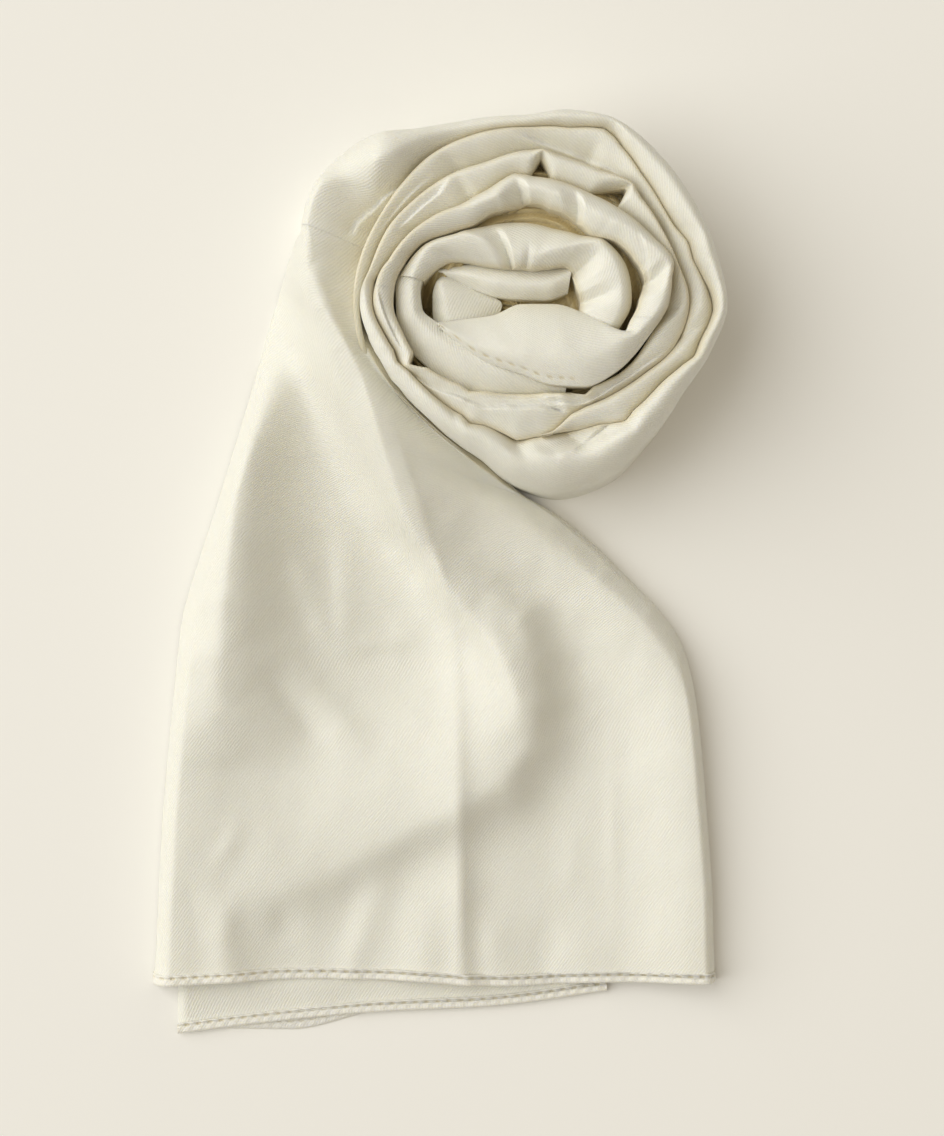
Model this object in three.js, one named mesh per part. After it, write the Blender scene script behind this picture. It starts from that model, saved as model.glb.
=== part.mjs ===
// Folded crepe scarf laid on a table: one end lies flat as a wide tail with sewn hems, and the rest
// is wound clockwise into a loose roll, with the folds of the cloth as its rims.
// Sizes are in millimetres, +Z is up and +Y points from the hems to the roll.
import * as THREE from "three";

// Cloth walls and the gaps between them
const WALL = 1.2;
const THIN_WALL = 1.0;
const GAP = 0.4;
const HALF_TURN = 180;

// Where the middle of the photographed table stands from the middle of the scarf
const PLACE = [12.455, 3.69];

// The roll: its centre, the floor of its valleys and the hidden heap under them
const ROLL_CENTRE = [15.0, 83.6];
const HEAP_TOP = 18.0;
const VALLEY_FLOOR = HEAP_TOP + 0.3;

// The tail: its level, the thickness of the layers under it and how its sides turn down
const TAIL_LEVEL = 4.8;
const TAIL_LOWEST = 4.3;
const SECOND_TOP = 2.6;
const THIRD_TOP = 1.1;
const SIDE_TURN = 6.0;
const SECOND_INSET = 6;
const THIRD_INSET = 7;

// The sewn hems
const HEM_WIDTH = 3.2;
const HEM_THICK = 1.9;
const UNDER_HEM_THICK = 1.1;
const TOP_HEM_BASE = 2.9;
const SECOND_HEM_BASE = 1.4;
const HEM_DROP = 5.0;

// The shoulders of a turn: how far down they reach, as a share of its wall and of its width
const SHOULDER_SHARE = 0.9;
const OUTER_SHOULDER = 1.5;
const INNER_SHOULDER = 1.2;
const SPLAY_HALFWAY = 0.4;

// The tail's sides count as thin up to this height, and its swellings fade out over these sections
const THIN_SIDE = 10;
const FLAT_FROM = 12;
const FLAT_FADE = 3;

// How strongly the columns of the tail and the hems crowd towards their two ends
const CROWDING = 0.86;

function table(header, ...rows) {
  const names = header.split(" ");
  return rows.map((row) => Object.fromEntries(names.map((name, i) => [name, row[i]])));
}

// The valleys between the turns, as distances from the roll's centre. "at" is the winding in
// degrees, clockwise from the left side. Turn one runs from rim to first, turn two from first to
// second, turn three from second to third and turn four from third to fourth.
const VALLEYS = table("at rim first second third fourth",
  [0, 73.5, 52.6, 50.5, 46.0, 41.0],
  [15, 73.5, 52.3, 48.0, 43.5, 38.7],
  [30, 76.3, 51.9, 47.4, 40.8, 35.9],
  [45, 73.5, 52.8, 46.2, 37.8, 30.6],
  [60, 64.4, 54.4, 45.7, 35.3, 28.0],
  [75, 60.8, 54.8, 45.2, 36.5, 28.9],
  [90, 59.9, 55.2, 47.0, 39.3, 27.8],
  [105, 63.8, 58.2, 48.4, 39.8, 30.0],
  [120, 66.0, 60.2, 48.9, 39.9, 30.5],
  [135, 64.9, 56.2, 50.4, 41.7, 30.2],
  [150, 64.3, 54.2, 50.1, 45.0, 35.5],
  [165, 64.6, 56.1, 51.0, 48.2, 38.2],
  [180, 65.8, 60.0, 53.6, 46.8, 37.2],
  [195, 62.3, 57.2, 51.0, 42.2, 33.6],
  [210, 59.3, 51.2, 45.0, 39.6, 30.0],
  [225, 59.6, 49.0, 41.0, 35.8, 26.0],
  [240, 61.6, 45.0, 38.6, 32.4, 22.0],
  [255, 61.2, 42.6, 38.4, 29.2, 20.0],
  [270, 56.6, 42.4, 36.0, 28.6, 20.0],
  [285, 49.4, 40.1, 35.0, 29.2, 22.0],
  [300, 46.6, 39.6, 35.0, 30.8, 25.0],
  [315, 45.6, 39.9, 36.0, 33.4, 28.0],
  [330, 46.6, 41.0, 38.0, 36.4, 32.0],
  [345, 48.5, 43.4, 40.5, 39.0, 34.0],
  [360, 50.4, 46.2, 44.0, 40.4, 36.0],
  [375, 50.4, 44.4, 42.0, 39.4, 36.0]);

// How each turn stands: "ridge" is the share of its width where it is highest, counted from its
// outer side, "top" its height there, "outfoot" and "infoot" where its two sides end, "splay" how
// far the outer foot stands out and "hollow" how far its inner side is a slope and not a wall.
const TURN_ONE = table("at ridge top outfoot infoot splay hollow",
  [20, 0.13, 38, 0, 27, 2.8, 1],
  [45, 0.14, 40, 0, 25, 3.4, 1],
  [62, 0.35, 42, 0, 22, 3.8, 0.6],
  [80, 0.50, 44, 0, VALLEY_FLOOR, 3.8, 0],
  [110, 0.45, 45, 0, VALLEY_FLOOR, 3.4, 0],
  [150, 0.45, 46, 0, VALLEY_FLOOR, 1.6, 0],
  [195, 0.45, 46, 0, VALLEY_FLOOR, 1.0, 0],
  [225, 0.58, 44, 0, 24, 1.6, 0.4],
  [248, 0.55, 43, 0, 27, 1.8, 0.6],
  [270, 0.55, 42, 0, VALLEY_FLOOR, 0.6, 0],
  [300, 0.50, 43, 0, VALLEY_FLOOR, 0, 0],
  [360, 0.45, 46, 0, VALLEY_FLOOR, 0, 0]);
const TURN_TWO = table("at ridge top outfoot infoot splay hollow",
  [9, 0.50, 43, VALLEY_FLOOR, VALLEY_FLOOR, 0, 0],
  [60, 0.35, 44, VALLEY_FLOOR, VALLEY_FLOOR, 0, 0],
  [105, 0.40, 41, VALLEY_FLOOR, VALLEY_FLOOR, 0, 0],
  [165, 0.50, 40, VALLEY_FLOOR, VALLEY_FLOOR, 0, 0],
  [240, 0.50, 41, VALLEY_FLOOR, VALLEY_FLOOR, 0, 0],
  [266, 0.50, 41, VALLEY_FLOOR, VALLEY_FLOOR, 0, 0]);
const TURN_THREE = table("at ridge top outfoot infoot splay hollow",
  [0, 0.40, 46, VALLEY_FLOOR, VALLEY_FLOOR, 0, 0],
  [45, 0.40, 46, VALLEY_FLOOR, VALLEY_FLOOR, 0, 0],
  [100, 0.35, 47, VALLEY_FLOOR, VALLEY_FLOOR, 0, 0],
  [165, 0.45, 42, VALLEY_FLOOR, VALLEY_FLOOR, 0, 0],
  [225, 0.50, 43, VALLEY_FLOOR, VALLEY_FLOOR, 0, 0],
  [270, 0.60, 42, VALLEY_FLOOR, VALLEY_FLOOR, 0, 0],
  [330, 0.50, 44, VALLEY_FLOOR, VALLEY_FLOOR, 0, 0],
  [367, 0.50, 47, VALLEY_FLOOR, VALLEY_FLOOR, 0, 0]);
const TURN_FOUR = table("at ridge top outfoot infoot splay hollow",
  [7, 0.45, 47, VALLEY_FLOOR, VALLEY_FLOOR, 0, 0],
  [60, 0.40, 49, VALLEY_FLOOR, VALLEY_FLOOR, 0, 0],
  [120, 0.35, 51, VALLEY_FLOOR, VALLEY_FLOOR, 0, 0],
  [170, 0.40, 52, VALLEY_FLOOR, VALLEY_FLOOR, 0, 0],
  [196, 0.45, 50, VALLEY_FLOOR, VALLEY_FLOOR, 0, 0]);
const TURN_FIVE = table("at outer inner ridge top outfoot infoot splay hollow",
  [13, 36.0, 31.0, 0.50, 44, VALLEY_FLOOR, VALLEY_FLOOR, 0, 0],
  [30, 33.8, 25.6, 0.45, 45, VALLEY_FLOOR, VALLEY_FLOOR, 0, 0],
  [48, 29.0, 15.6, 0.35, 46, VALLEY_FLOOR, VALLEY_FLOOR, 0, 0],
  [70, 26.0, 11.4, 0.35, 46, VALLEY_FLOOR, VALLEY_FLOOR, 0, 0],
  [90, 25.2, 10.6, 0.35, 46, VALLEY_FLOOR, VALLEY_FLOOR, 0, 0],
  [110, 25.4, 10.8, 0.35, 46, VALLEY_FLOOR, VALLEY_FLOOR, 0, 0],
  [130, 28.0, 14.0, 0.40, 47, VALLEY_FLOOR, VALLEY_FLOOR, 0, 0],
  [145, 33.0, 18.8, 0.45, 48, VALLEY_FLOOR, VALLEY_FLOOR, 0, 0],
  [165, 35.4, 18.4, 0.45, 48, VALLEY_FLOOR, VALLEY_FLOOR, 0, 0],
  [180, 35.2, 19.6, 0.45, 47, VALLEY_FLOOR, VALLEY_FLOOR, 0, 0],
  [192, 32.6, 27.0, 0.50, 44, VALLEY_FLOOR, VALLEY_FLOOR, 0, 0]);

// The inner pieces, whose two sides are given by their places: "ox oy" outer, "ix iy" inner.
const FRONT_FOLD = table("at ox oy ix iy ridge top",
  [0, 58.5, 76.9, 50.4, 77.6, 0.45, 50],
  [1, 55.0, 72.0, 47.6, 74.2, 0.45, 50],
  [2, 51.2, 67.1, 41.8, 76.4, 0.50, 49],
  [3, 45.2, 61.5, 35.5, 80.0, 0.50, 48],
  [4, 35.4, 56.9, 26.0, 83.2, 0.50, 47],
  [5, 26.0, 57.4, 15.7, 83.3, 0.50, 46],
  [6, 15.0, 61.2, 6.4, 79.7, 0.50, 45],
  [7, 4.0, 65.0, -1.6, 78.7, 0.50, 43],
  [8, -6.0, 70.8, -8.0, 77.3, 0.50, 41]);
const INNER_END = table("at ox oy ix iy ridge top",
  [0, 18.0, 56.9, 19.2, 59.2, 0.50, 36],
  [1, 9.6, 58.9, 11.0, 62.0, 0.50, 37],
  [2, -3.4, 60.6, -0.4, 66.2, 0.50, 37],
  [3, -12.6, 66.6, -8.2, 71.4, 0.50, 38],
  [4, -19.8, 75.4, -12.6, 77.4, 0.50, 39],
  [5, -22.0, 85.0, -16.6, 85.0, 0.50, 38]);
const CORE_FOLD = table("at ox oy ix iy ridge top",
  [0, -0.8, 93.8, 0.4, 90.4, 0.40, 36],
  [1, 8.0, 93.4, 7.6, 88.2, 0.40, 38],
  [2, 16.0, 93.4, 15.6, 86.6, 0.40, 38],
  [3, 25.0, 93.4, 24.2, 86.0, 0.40, 38],
  [4, 30.6, 91.0, 30.2, 87.6, 0.40, 36]);
const CORE_LOBE = table("at ox oy ix iy ridge top",
  [0, -11.4, 82.2, 3.0, 81.4, 0.50, 30],
  [1, -12.2, 85.9, 4.6, 85.5, 0.50, 32],
  [2, -11.6, 90.0, -0.8, 88.8, 0.50, 31],
  [3, -9.6, 92.6, -2.2, 92.2, 0.50, 28]);

// The tail, by its sections from the hem to the roll: the places of its left and right sides, the
// share of the width where the ridge runs and its height, how far the left side takes to rise,
// how wide the ridge is to its left and right, and the height of the right side.
const TAIL = table("at lx ly rx ry share ridge rise left right side",
  [0, -106.6, -135.4, 81.3, -134.2, 0.60, 5.0, 7, 12, 12, 0],
  [1, -105.0, -110, 80.4, -109, 0.60, 5.0, 7, 12, 12, 0],
  [2, -103.4, -82, 78.5, -82, 0.60, 5.2, 7, 12, 12, 0],
  [3, -101.3, -58, 76.5, -58, 0.60, 5.6, 7, 14, 14, 0],
  [4, -99.3, -37, 73.8, -38, 0.60, 6.2, 7, 14, 17, 0],
  [5, -97.0, -17, 69.6, -24.1, 0.565, 7.6, 7, 13, 19, 0],
  [6, -92.5, -1, 61.2, -12.4, 0.52, 9.6, 7, 12, 21, 0],
  [7, -88.0, 13, 52.8, -4.0, 0.49, 12.6, 7, 11, 23, 0],
  [8, -83.8, 26.1, 42.8, 6.0, 0.43, 16.0, 8, 11, 25, 0],
  [9, -78.5, 43.5, 28.4, 17.8, 0.39, 19.6, 9, 12, 27, 0],
  [10, -72.8, 62.5, 12.4, 25.0, 0.355, 23.6, 12, 13, 28, 2],
  [11, -68.0, 80, -1.6, 36.4, 0.31, 28.0, 20, 16, 26, 13.5],
  [12, -64.5, 91.5, -14.2, 46.4, 0.315, 31.5, 20, 20, 22, 18],
  [13, -62.4, 98, -25.6, 58.0, 0.34, 34.0, 15, 30, 18, 22.5],
  [14, -60.8, 102.3, -33.6, 71.2, 0.355, 35.5, 14, 40, 15, 26],
  [15, -59.5, 105.6, -37.2, 84.0, 0.34, 36.8, 10.5, 40, 13, 27],
  [16, -58.3, 108.4, -37.6, 94.5, 0.27, 37.6, 6.7, 40, 12, 27],
  [17, -57.0, 109.4, -34.4, 101.2, 0.21, 38.0, 4.5, 40, 11, 27]);

// Soft swellings and hollows of the tail, each along a line from one place to another.
const SWELLINGS = table("x0 y0 x1 y1 width height",
  [9.0, -26, 13.0, -56, 12, 2.6],
  [28.0, -20, 26.0, -66, 8, -1.2],
  [24.0, -68, -18.0, -92, 8, -1.0],
  [44.0, 0, 66.0, -44, 9, 1.6],
  [67.0, -50, 72.0, -118, 8, 1.4],
  [-78.0, 40, -91.0, -20, 6, 2.6],
  [-91.0, -20, -97.0, -125, 6, 1.8],
  [-44.0, 2, -37.0, -64, 8, 1.2],
  [-60.0, -98, 0.0, -74, 10, 1.0]);

// The hem lines, from left to right: the far edge of the top hem, of the second and of the third.
const TOP_HEM = table("at x y",
  [0, -106.8, -139.0],
  [0.25, -58, -136.9],
  [0.45, -24, -137.4],
  [0.6, 10, -139.2],
  [0.8, 48, -138.0],
  [1, 81.4, -137.7]);
const SECOND_HEM = table("at x y",
  [0, -98.3, -155.8],
  [0.2, -72.0, -152.4],
  [0.45, -32.0, -148.5],
  [0.7, 6.0, -146.6],
  [1, 45.0, -141.4]);
const THIRD_HEM = table("at x y",
  [0, -82.0, -154.2],
  [0.5, -60.0, -154.4],
  [1, -38.0, -149.6]);

// Values between the rows of a table: smooth, and never past the values on either side
function between(rows, column, at) {
  const last = rows.length - 1;
  if (at <= rows[0].at) {
    return rows[0][column];
  }
  if (at >= rows[last].at) {
    return rows[last][column];
  }
  const slope = (i) => (rows[i + 1][column] - rows[i][column]) / (rows[i + 1].at - rows[i].at);
  const tangent = (i) => {
    if (i === 0 || i === last) {
      return slope(i === 0 ? 0 : last - 1);
    }
    const before = slope(i - 1);
    const after = slope(i);
    return before * after <= 0 ? 0 : (2 * before * after) / (before + after);
  };
  let i = 0;
  while (rows[i + 1].at < at) {
    i += 1;
  }
  const span = rows[i + 1].at - rows[i].at;
  const t = (at - rows[i].at) / span;
  const rise = t * t * (3 - 2 * t);
  return rows[i][column] * (1 - rise) + rows[i + 1][column] * rise
    + span * (t * (1 - t) * (1 - t) * tangent(i) - t * t * (1 - t) * tangent(i + 1));
}

// The place at a winding angle and a distance from the roll's centre
function around(at, distance) {
  const angle = ((HALF_TURN - at) * Math.PI) / HALF_TURN;
  return [ROLL_CENTRE[0] + distance * Math.cos(angle), ROLL_CENTRE[1] + distance * Math.sin(angle)];
}

// The section of a turn, from its outer foot over the ridge to its inner foot, as pairs of
// distance and height. Walls stand up to a round shoulder; a hollow side is a soft slope.
const ARC_STEPS = 3;
function archSection(width, { ridge, top, outfoot, infoot, splay, hollow }) {
  const crest = ridge * width;
  const beyond = width - crest;
  const outerDrop = Math.min(SHOULDER_SHARE * (top - outfoot), OUTER_SHOULDER * crest);
  const innerDrop = Math.min(SHOULDER_SHARE * (top - infoot), INNER_SHOULDER * beyond);
  const halfway = 0.5 * (outfoot + top - outerDrop);
  const points = [[-splay, outfoot], [-SPLAY_HALFWAY * splay, halfway]];
  for (let i = 0; i <= ARC_STEPS; i += 1) {
    const turn = (i / ARC_STEPS) * 0.5 * Math.PI;
    points.push([crest - crest * Math.cos(turn), top - outerDrop + outerDrop * Math.sin(turn)]);
  }
  for (let i = 1; i <= ARC_STEPS + 1; i += 1) {
    const turn = (Math.min(i, ARC_STEPS) / ARC_STEPS) * 0.5 * Math.PI;
    const wall = i > ARC_STEPS
      ? [width, infoot]
      : [crest + beyond * Math.sin(turn), top - innerDrop + innerDrop * Math.cos(turn)];
    const share = i / (ARC_STEPS + 1);
    const slope = [crest + beyond * share, infoot + (top - infoot) * 0.5 * (1 + Math.cos(Math.PI * share))];
    points.push([0, 1].map((k) => wall[k] * (1 - hollow) + slope[k] * hollow));
  }
  return points;
}

// A cloth wall over a grid of places on its upper side. A standing side keeps its foot level.
function clothWall(name, grid, wall, standing) {
  const rows = grid.length;
  const columns = grid[0].length;
  const upper = grid.map((row) => row.map((p) => new THREE.Vector3(...p)));
  const lower = upper.map((row, i) => row.map((p, j) => {
    const along = upper[Math.min(i + 1, rows - 1)][j].clone().sub(upper[Math.max(i - 1, 0)][j]);
    const across = row[Math.min(j + 1, columns - 1)].clone().sub(row[Math.max(j - 1, 0)]);
    const inward = across.cross(along).normalize().multiplyScalar(-wall);
    const foot = (j === 0 && standing[0]) || (j === columns - 1 && standing[1]);
    if (foot) {
      inward.setZ(0).normalize().multiplyScalar(wall);
    }
    return p.clone().add(inward);
  }));
  return shell(name, upper, lower);
}

// A closed solid between an upper and a lower grid of places
function shell(name, upper, lower) {
  const rows = upper.length;
  const columns = upper[0].length;
  const points = [...upper, ...lower].flat();
  const index = (side, i, j) => side * rows * columns + i * columns + j;
  const faces = [];
  const quad = (a, b, c, d) => faces.push(a, b, c, a, c, d);
  for (let i = 0; i < rows - 1; i += 1) {
    for (let j = 0; j < columns - 1; j += 1) {
      quad(index(0, i, j), index(0, i, j + 1), index(0, i + 1, j + 1), index(0, i + 1, j));
      quad(index(1, i, j), index(1, i + 1, j), index(1, i + 1, j + 1), index(1, i, j + 1));
    }
    const end = columns - 1;
    quad(index(0, i, 0), index(0, i + 1, 0), index(1, i + 1, 0), index(1, i, 0));
    quad(index(0, i, end), index(1, i, end), index(1, i + 1, end), index(0, i + 1, end));
  }
  for (let j = 0; j < columns - 1; j += 1) {
    const end = rows - 1;
    quad(index(0, 0, j), index(1, 0, j), index(1, 0, j + 1), index(0, 0, j + 1));
    quad(index(0, end, j), index(0, end, j + 1), index(1, end, j + 1), index(1, end, j));
  }
  return part(name, points, faces);
}

function part(name, points, faces) {
  const geometry = new THREE.BufferGeometry();
  const places = points.flatMap((p) => [p.x + PLACE[0], p.y + PLACE[1], Math.max(p.z, 0)]);
  geometry.setAttribute("position", new THREE.Float32BufferAttribute(places, 3));
  geometry.setIndex(faces);
  geometry.computeVertexNormals();
  const colour = name.startsWith("hem") ? 0xf4f2e6 : 0xebe7d8;
  const mesh = new THREE.Mesh(geometry, new THREE.MeshStandardMaterial({ color: colour, roughness: 0.9 }));
  mesh.name = name;
  return mesh;
}

// Winding angles at even steps, which all turns share, with the two ends
const STEP = 9;
function windings(from, to) {
  const list = [from];
  for (let at = STEP * Math.ceil((from + 1) / STEP); at < to - 1; at += STEP) {
    list.push(at);
  }
  return [...list, to];
}

// A turn of the roll, from one winding angle to another
function turn(name, rows, from, to, outerAt, innerAt, wall) {
  const grid = [];
  for (const at of windings(from, to)) {
    const outer = outerAt(at);
    const inner = innerAt(at);
    const shape = {};
    for (const column of ["ridge", "top", "outfoot", "infoot", "splay", "hollow"]) {
      shape[column] = between(rows, column, at);
    }
    grid.push(archSection(outer - inner, shape).map(([s, z]) => [...around(at, outer - s), z]));
  }
  return clothWall(name, grid, wall, [true, true]);
}

// An inner piece, between its two sides
function insert(name, rows, sections, wall) {
  const grid = [];
  for (let i = 0; i <= sections; i += 1) {
    const at = (rows[rows.length - 1].at * i) / sections;
    const [ox, oy, ix, iy, ridge, top] =
      ["ox", "oy", "ix", "iy", "ridge", "top"].map((column) => between(rows, column, at));
    const width = Math.hypot(ix - ox, iy - oy);
    const shape = { ridge, top, outfoot: VALLEY_FLOOR, infoot: VALLEY_FLOOR, splay: 0, hollow: 0 };
    grid.push(archSection(width, shape).map(([s, z]) =>
      [ox + ((ix - ox) * s) / width, oy + ((iy - oy) * s) / width, z]));
  }
  return clothWall(name, grid, wall, [true, true]);
}

// Turn two ends here, and turn three widens to take its place
const TWO_END = 260.5;
const valley = (column, shift) => (at) => between(VALLEYS, column, at) + shift;

// The height that the swellings add at a place
function swelling(x, y) {
  let height = 0;
  for (const { x0, y0, x1, y1, width, height: h } of SWELLINGS) {
    const dx = x1 - x0;
    const dy = y1 - y0;
    const t = Math.min(1, Math.max(0, ((x - x0) * dx + (y - y0) * dy) / (dx * dx + dy * dy)));
    const away = Math.hypot(x - x0 - t * dx, y - y0 - t * dy) / width;
    height += h * Math.exp(-away * away);
  }
  return height;
}

// A round edge, from 0 at the side to 1 after the given width
const rounded = (distance, width) =>
  Math.sqrt(1 - (1 - Math.min(1, Math.max(0, distance / width))) ** 2);

// The upper side of the tail at a section and a share of its width
function tailPlace(at, share) {
  const row = {};
  for (const column of Object.keys(TAIL[0])) {
    row[column] = between(TAIL, column, at);
  }
  const x = row.lx + (row.rx - row.lx) * share;
  const hemward = Math.max(0, 1 - at);
  const hemY = between(TOP_HEM, "y", share) + HEM_WIDTH + GAP;
  const y = (row.ly + (row.ry - row.ly) * share) * (1 - hemward) + hemY * hemward;
  const width = Math.hypot(row.rx - row.lx, row.ry - row.ly);
  const off = (share - row.share) * width;
  const bell = Math.exp(-((off / (off < 0 ? row.left : row.right)) ** 2));
  const level = off < 0 ? TAIL_LEVEL : Math.max(TAIL_LEVEL, row.side);
  const flat = Math.min(1, Math.max(0, (FLAT_FROM - at) / FLAT_FADE));
  let z = level + (row.ridge - level) * bell + flat * swelling(x, y);
  z = Math.max(z, TAIL_LOWEST) * rounded(share * width, row.rise);
  const down = Math.min(1, Math.max(0, 1 - row.side / THIN_SIDE));
  return [x, y, z * (1 - down + down * rounded((1 - share) * width, SIDE_TURN))];
}

// Shares of the width that lie closer together near the two sides
function shares(count) {
  const list = [];
  for (let j = 0; j <= count; j += 1) {
    const t = j / count;
    list.push(t - (CROWDING * Math.sin(2 * Math.PI * t)) / (2 * Math.PI));
  }
  return list;
}

const TAIL_SECTIONS = 27;
const TAIL_COLUMNS = 18;
function tailUpper() {
  const grid = [];
  for (let i = 0; i <= TAIL_SECTIONS; i += 1) {
    const at = (TAIL[TAIL.length - 1].at * i) / TAIL_SECTIONS;
    grid.push(shares(TAIL_COLUMNS).map((share) => tailPlace(at, share)));
  }
  return clothWall("tail_upper", grid, WALL, [true, true]);
}

// A flat layer under the tail: from its hem line up to a level under the roll's side
const LAYER_END_AT = 9;
const LAYER_SECTIONS = 8;
const LAYER_COLUMNS = 8;
const LAYER_BLEND = 3;
const LAYER_NEAREST = 4;
function tailLayer(name, hem, top, thick, inset) {
  const grid = [];
  for (let i = 0; i <= LAYER_SECTIONS; i += 1) {
    const t = i / LAYER_SECTIONS;
    const at = LAYER_END_AT * t;
    const row = [];
    for (let j = 0; j <= LAYER_COLUMNS; j += 1) {
      const share = j / LAYER_COLUMNS;
      const left = between(TAIL, "lx", at) + inset;
      const right = between(TAIL, "rx", at) - inset;
      const hemX = between(hem, "x", share);
      const hemY = between(hem, "y", share) + HEM_WIDTH + GAP;
      const blend = Math.min(1, t * LAYER_BLEND);
      const x = left + (right - left) * share;
      const y = between(TAIL, "ly", at) * (1 - share) + between(TAIL, "ry", at) * share;
      row.push([hemX * (1 - blend) + x * blend, t === 0 ? hemY : Math.max(y, hemY + LAYER_NEAREST), top]);
    }
    grid.push(row);
  }
  return clothWall(name, grid, thick, [false, false]);
}

// A rolled hem along a hem line, a little thicker than the cloth beside it
const HEM_SECTIONS = 16;
const HEM_PROFILE = [[0, 0.4], [0.15, 0.85], [0.5, 1.0], [0.85, 0.85], [1, 0.4]];
function hem(name, rows, baseAt, thick) {
  const ats = shares(HEM_SECTIONS);
  const place = (at, share, lift) => new THREE.Vector3(
    between(rows, "x", at),
    between(rows, "y", at) + share * HEM_WIDTH,
    baseAt(at) + lift * thick);
  const upper = HEM_PROFILE.map(([share, lift]) => ats.map((at) => place(at, share, lift)));
  const lower = HEM_PROFILE.map(([share]) => ats.map((at) => place(at, share, 0)));
  return shell(name, upper, lower);
}

// The heap of hidden layers inside the roll: a low round-edged body on the floor
const HEAP = table("at radius",
  [0, 46.6], [14, 49.0], [30, 64.0], [45, 66.0], [60, 60.0], [75, 57.6], [90, 56.6], [110, 61.0],
  [135, 61.6], [165, 61.4], [180, 62.4], [195, 59.2], [210, 56.2], [225, 56.4], [240, 58.0],
  [255, 57.6], [270, 53.2], [285, 46.4], [300, 43.6], [315, 42.6], [330, 43.6], [345, 45.2], [360, 46.6]);
const HEAP_RINGS = [[0.94, 0], [1, 0.22], [1, 0.72], [0.985, 0.9], [0.94, 1]];
const HEAP_SECTIONS = 44;
function heap() {
  const points = [];
  for (const [share, height] of HEAP_RINGS) {
    for (let i = 0; i < HEAP_SECTIONS; i += 1) {
      const at = (360 * i) / HEAP_SECTIONS;
      points.push(new THREE.Vector3(...around(at, share * between(HEAP, "radius", at)), height * HEAP_TOP));
    }
  }
  const bottom = points.push(new THREE.Vector3(...ROLL_CENTRE, 0)) - 1;
  const top = points.push(new THREE.Vector3(...ROLL_CENTRE, HEAP_TOP)) - 1;
  const faces = [];
  const last = (HEAP_RINGS.length - 1) * HEAP_SECTIONS;
  for (let i = 0; i < HEAP_SECTIONS; i += 1) {
    const next = (i + 1) % HEAP_SECTIONS;
    for (let ring = 0; ring < HEAP_RINGS.length - 1; ring += 1) {
      const a = ring * HEAP_SECTIONS;
      const b = a + HEAP_SECTIONS;
      faces.push(a + i, b + i, b + next, a + i, b + next, a + next);
    }
    faces.push(bottom, i, next, top, last + next, last + i);
  }
  return part("roll_hidden_layers", points, faces);
}

const roll = new THREE.Group();
roll.name = "roll";
roll.add(heap());
roll.add(turn("turn_one", TURN_ONE, 20.6, 359.7, valley("rim", 0), valley("first", GAP / 2), WALL));
roll.add(turn("turn_two", TURN_TWO, 9, TWO_END, valley("first", -GAP / 2), valley("second", GAP / 2), THIN_WALL));
const threeOuter = (at) => valley(at < TWO_END + 1 ? "second" : "first", -GAP / 2)(at);
roll.add(turn("turn_three", TURN_THREE, 0.3, 366, threeOuter, valley("third", GAP / 2), THIN_WALL));
roll.add(turn("turn_four", TURN_FOUR, 7, 188, valley("third", -GAP / 2), valley("fourth", GAP / 2), WALL));
roll.add(turn("turn_five", TURN_FIVE, 13, 192,
  (at) => between(TURN_FIVE, "outer", at), (at) => between(TURN_FIVE, "inner", at), WALL));
const INSERTS = table("name rows sections wall",
  ["front_fold", FRONT_FOLD, 14, WALL],
  ["inner_end", INNER_END, 10, THIN_WALL],
  ["core_fold", CORE_FOLD, 8, THIN_WALL],
  ["core_lobe", CORE_LOBE, 6, THIN_WALL]);
for (const { name, rows, sections, wall } of INSERTS) {
  roll.add(insert(name, rows, sections, wall));
}

const tail = new THREE.Group();
tail.name = "tail";
tail.add(tailUpper());
tail.add(tailLayer("tail_second", SECOND_HEM, SECOND_TOP, THIN_WALL, SECOND_INSET));
tail.add(tailLayer("tail_third", THIRD_HEM, THIRD_TOP, THIRD_TOP, THIRD_INSET));
const hemLength = TOP_HEM[TOP_HEM.length - 1].x - TOP_HEM[0].x;
const topHemBase = (at) => TOP_HEM_BASE * rounded(Math.min(at, 1 - at) * hemLength, HEM_DROP);
tail.add(hem("hem_top", TOP_HEM, topHemBase, HEM_THICK));
tail.add(hem("hem_second", SECOND_HEM, () => SECOND_HEM_BASE, HEM_THICK));
tail.add(hem("hem_third", THIRD_HEM, () => 0, UNDER_HEM_THICK));

const scarf = new THREE.Group();
scarf.name = "scarf";
scarf.add(roll, tail);

export default scarf;
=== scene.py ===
import math
from functools import partial

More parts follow.
